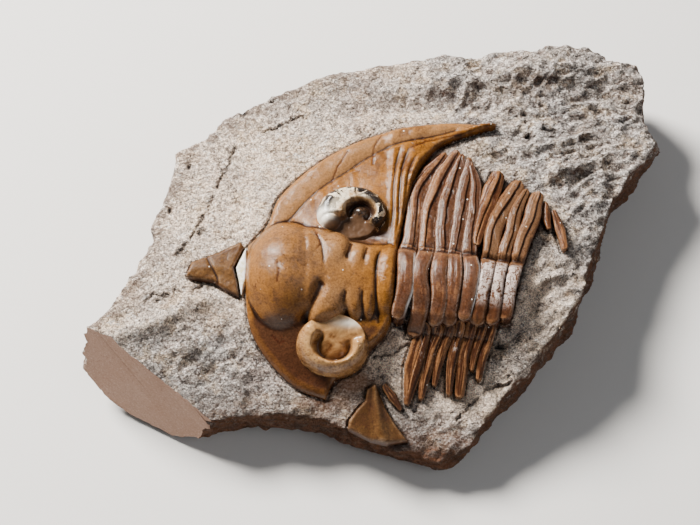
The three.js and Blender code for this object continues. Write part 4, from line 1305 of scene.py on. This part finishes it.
def set_stage(settings):
    clear_selection()
    bpy.ops.mesh.primitive_plane_add(size=3.0, location=(0, 0, -0.0002))
    floor = bpy.context.object
    floor.name = "floor"
    f = Finish("floor")
    floor.data.materials.append(f.done(settings.floor, 0.9, [], specular=0.2))

    back = Vector((0.0, -math.cos(CAMERA_ELEVATION), math.sin(CAMERA_ELEVATION)))
    bpy.ops.object.camera_add(
        location=CAMERA_TARGET + back * CAMERA_DISTANCE, rotation=(math.pi / 2 - CAMERA_ELEVATION, 0.0, 0.0))
    camera = bpy.context.object
    camera.data.lens = CAMERA_LENS
    camera.data.sensor_width = 36.0
    camera.data.clip_start = 0.01
    bpy.context.scene.camera = camera

    def lamp(name, place, size, power, colour):
        bpy.ops.object.light_add(type="AREA", location=place)
        light = bpy.context.object
        light.name = name
        light.data.shape = "DISK"
        light.data.size, light.data.energy, light.data.color = size, power, colour
        light.rotation_euler = (Vector((0, 0, 0.015)) - Vector(place)).to_track_quat("-Z", "Y").to_euler()

    lamp("key_light", (-0.34, 0.30, 0.42), 0.22, settings.key, (1.0, 0.97, 0.93))
    lamp("fill_light", (0.45, -0.25, 0.50), 0.5, settings.fill, (0.93, 0.96, 1.0))
    world = bpy.data.worlds.new("soft_sky")
    world.use_nodes = True
    world.node_tree.nodes["Background"].inputs["Color"].default_value = (0.92, 0.94, 1.0, 1.0)
    world.node_tree.nodes["Background"].inputs["Strength"].default_value = settings.sky
    bpy.context.scene.world = world


# ---- settings
def colour(name, description, default):
    return FloatVectorProperty(name=name, description=description, default=default, size=3, min=0.0, max=1.0,
                               subtype="COLOR")


class SlabSettings(bpy.types.PropertyGroup):
    grain: FloatProperty(name="Grain", description="Size of the slab's faces, in mm", default=0.46, min=0.3)
    pale: colour("Pale", "Limestone where it is untouched", (0.90, 0.71, 0.55))
    grey: colour("Grey", "Limestone where it was scraped", (0.44, 0.41, 0.39))
    dark: colour("Dark", "Grit and bruises in the limestone", (0.16, 0.12, 0.105))


class ShellSettings(bpy.types.PropertyGroup):
    grain: FloatProperty(name="Grain", description="Size of the head's faces, in mm", default=0.25, min=0.15)
    light: colour("Light", "Shell on crests", (0.245, 0.098, 0.018))
    mid: colour("Middle", "Most of the shell", (0.185, 0.070, 0.010))
    ring: colour("Rings", "Shell of the thoracic rings", (0.082, 0.030, 0.013))
    ring_light: colour("Ring crests", "Crests of the thoracic rings", (0.19, 0.084, 0.034))
    tongue: colour("Tongue", "Shell of the tongue and the stray piece", (0.080, 0.036, 0.011))
    deep: colour("Deep", "Shell in its darker clouds", (0.056, 0.021, 0.009))
    darkest: colour("Darkest", "Left side plates in shade", (0.045, 0.016, 0.007))
    furrow: colour("Furrow", "Shell in furrows", (0.016, 0.005, 0.002))
    pale: colour("Pale eye", "Right eye's lens band", (0.80, 0.68, 0.50))
    tan: colour("Tan eye", "Left eye", (0.32, 0.162, 0.058))


class StageSettings(bpy.types.PropertyGroup):
    floor: colour("Floor", "Plain floor", (0.72, 0.70, 0.67))
    key: FloatProperty(name="Key light", description="Its power", default=17.0, min=0.0, unit="POWER")
    fill: FloatProperty(name="Fill light", description="Its power", default=1.0, min=0.0, unit="POWER")
    sky: FloatProperty(name="Sky", description="Strength of the light from all round", default=0.14, min=0.0)


# ---- operators
class TRILOBITE_OT_slab(bpy.types.Operator):
    """Model the limestone slab"""

    bl_idname = "trilobite.slab"
    bl_label = "Limestone Slab"

    def execute(self, context):
        model_slab(context.scene.trilobite_slab)
        return {"FINISHED"}


class TRILOBITE_OT_head(bpy.types.Operator):
    """Model the head shield"""

    bl_idname = "trilobite.head"
    bl_label = "Head Shield"

    def execute(self, context):
        model_head(context.scene.trilobite_shell)
        return {"FINISHED"}


class TRILOBITE_OT_eyes(bpy.types.Operator):
    """Model both crescent eyes"""

    bl_idname = "trilobite.eyes"
    bl_label = "Eyes"

    def execute(self, context):
        model_eyes(context.scene.trilobite_shell)
        return {"FINISHED"}


class TRILOBITE_OT_segments(bpy.types.Operator):
    """Model the eight thoracic segments"""

    bl_idname = "trilobite.segments"
    bl_label = "Thoracic Segments"

    def execute(self, context):
        model_segments(context.scene.trilobite_shell)
        return {"FINISHED"}


class TRILOBITE_OT_side_plates(bpy.types.Operator):
    """Model the lone side plate, the broken left side plates and the loose tips"""

    bl_idname = "trilobite.side_plates"
    bl_label = "Side Plates"

    def execute(self, context):
        model_side_plates(context.scene.trilobite_shell)
        return {"FINISHED"}


class TRILOBITE_OT_flat_pieces(bpy.types.Operator):
    """Model the tongue, the filler in its break and the stray piece of shell"""

    bl_idname = "trilobite.flat_pieces"
    bl_label = "Tongue and Stray Piece"

    def execute(self, context):
        model_flat_pieces(context.scene.trilobite_shell)
        return {"FINISHED"}


class TRILOBITE_OT_stage(bpy.types.Operator):
    """Set the floor, the lights and the camera"""

    bl_idname = "trilobite.stage"
    bl_label = "Stage"

    def execute(self, context):
        set_stage(context.scene.trilobite_stage)
        return {"FINISHED"}


OPERATORS = (
    TRILOBITE_OT_stage, TRILOBITE_OT_slab, TRILOBITE_OT_head, TRILOBITE_OT_eyes, TRILOBITE_OT_segments,
    TRILOBITE_OT_side_plates, TRILOBITE_OT_flat_pieces,
)


class TRILOBITE_PT_panel(bpy.types.Panel):
    """Lists the specimen's pieces"""

    bl_label = "Trilobite"
    bl_idname = "TRILOBITE_PT_panel"
    bl_space_type = "VIEW_3D"
    bl_region_type = "UI"
    bl_category = "Trilobite"

    def draw(self, context):
        for operator in OPERATORS:
            self.layout.operator(operator.bl_idname)


CLASSES = (SlabSettings, ShellSettings, StageSettings, *OPERATORS, TRILOBITE_PT_panel)


def register():
    for cls in CLASSES:
        bpy.utils.register_class(cls)
    bpy.types.Scene.trilobite_slab = PointerProperty(type=SlabSettings)
    bpy.types.Scene.trilobite_shell = PointerProperty(type=ShellSettings)
    bpy.types.Scene.trilobite_stage = PointerProperty(type=StageSettings)


def unregister():
    del bpy.types.Scene.trilobite_slab, bpy.types.Scene.trilobite_shell, bpy.types.Scene.trilobite_stage
    for cls in reversed(CLASSES):
        bpy.utils.unregister_class(cls)


def main():
    register()
    for operator in OPERATORS:
        group, name = operator.bl_idname.split(".")
        getattr(getattr(bpy.ops, group), name)()


if __name__ == "__main__":
    main()
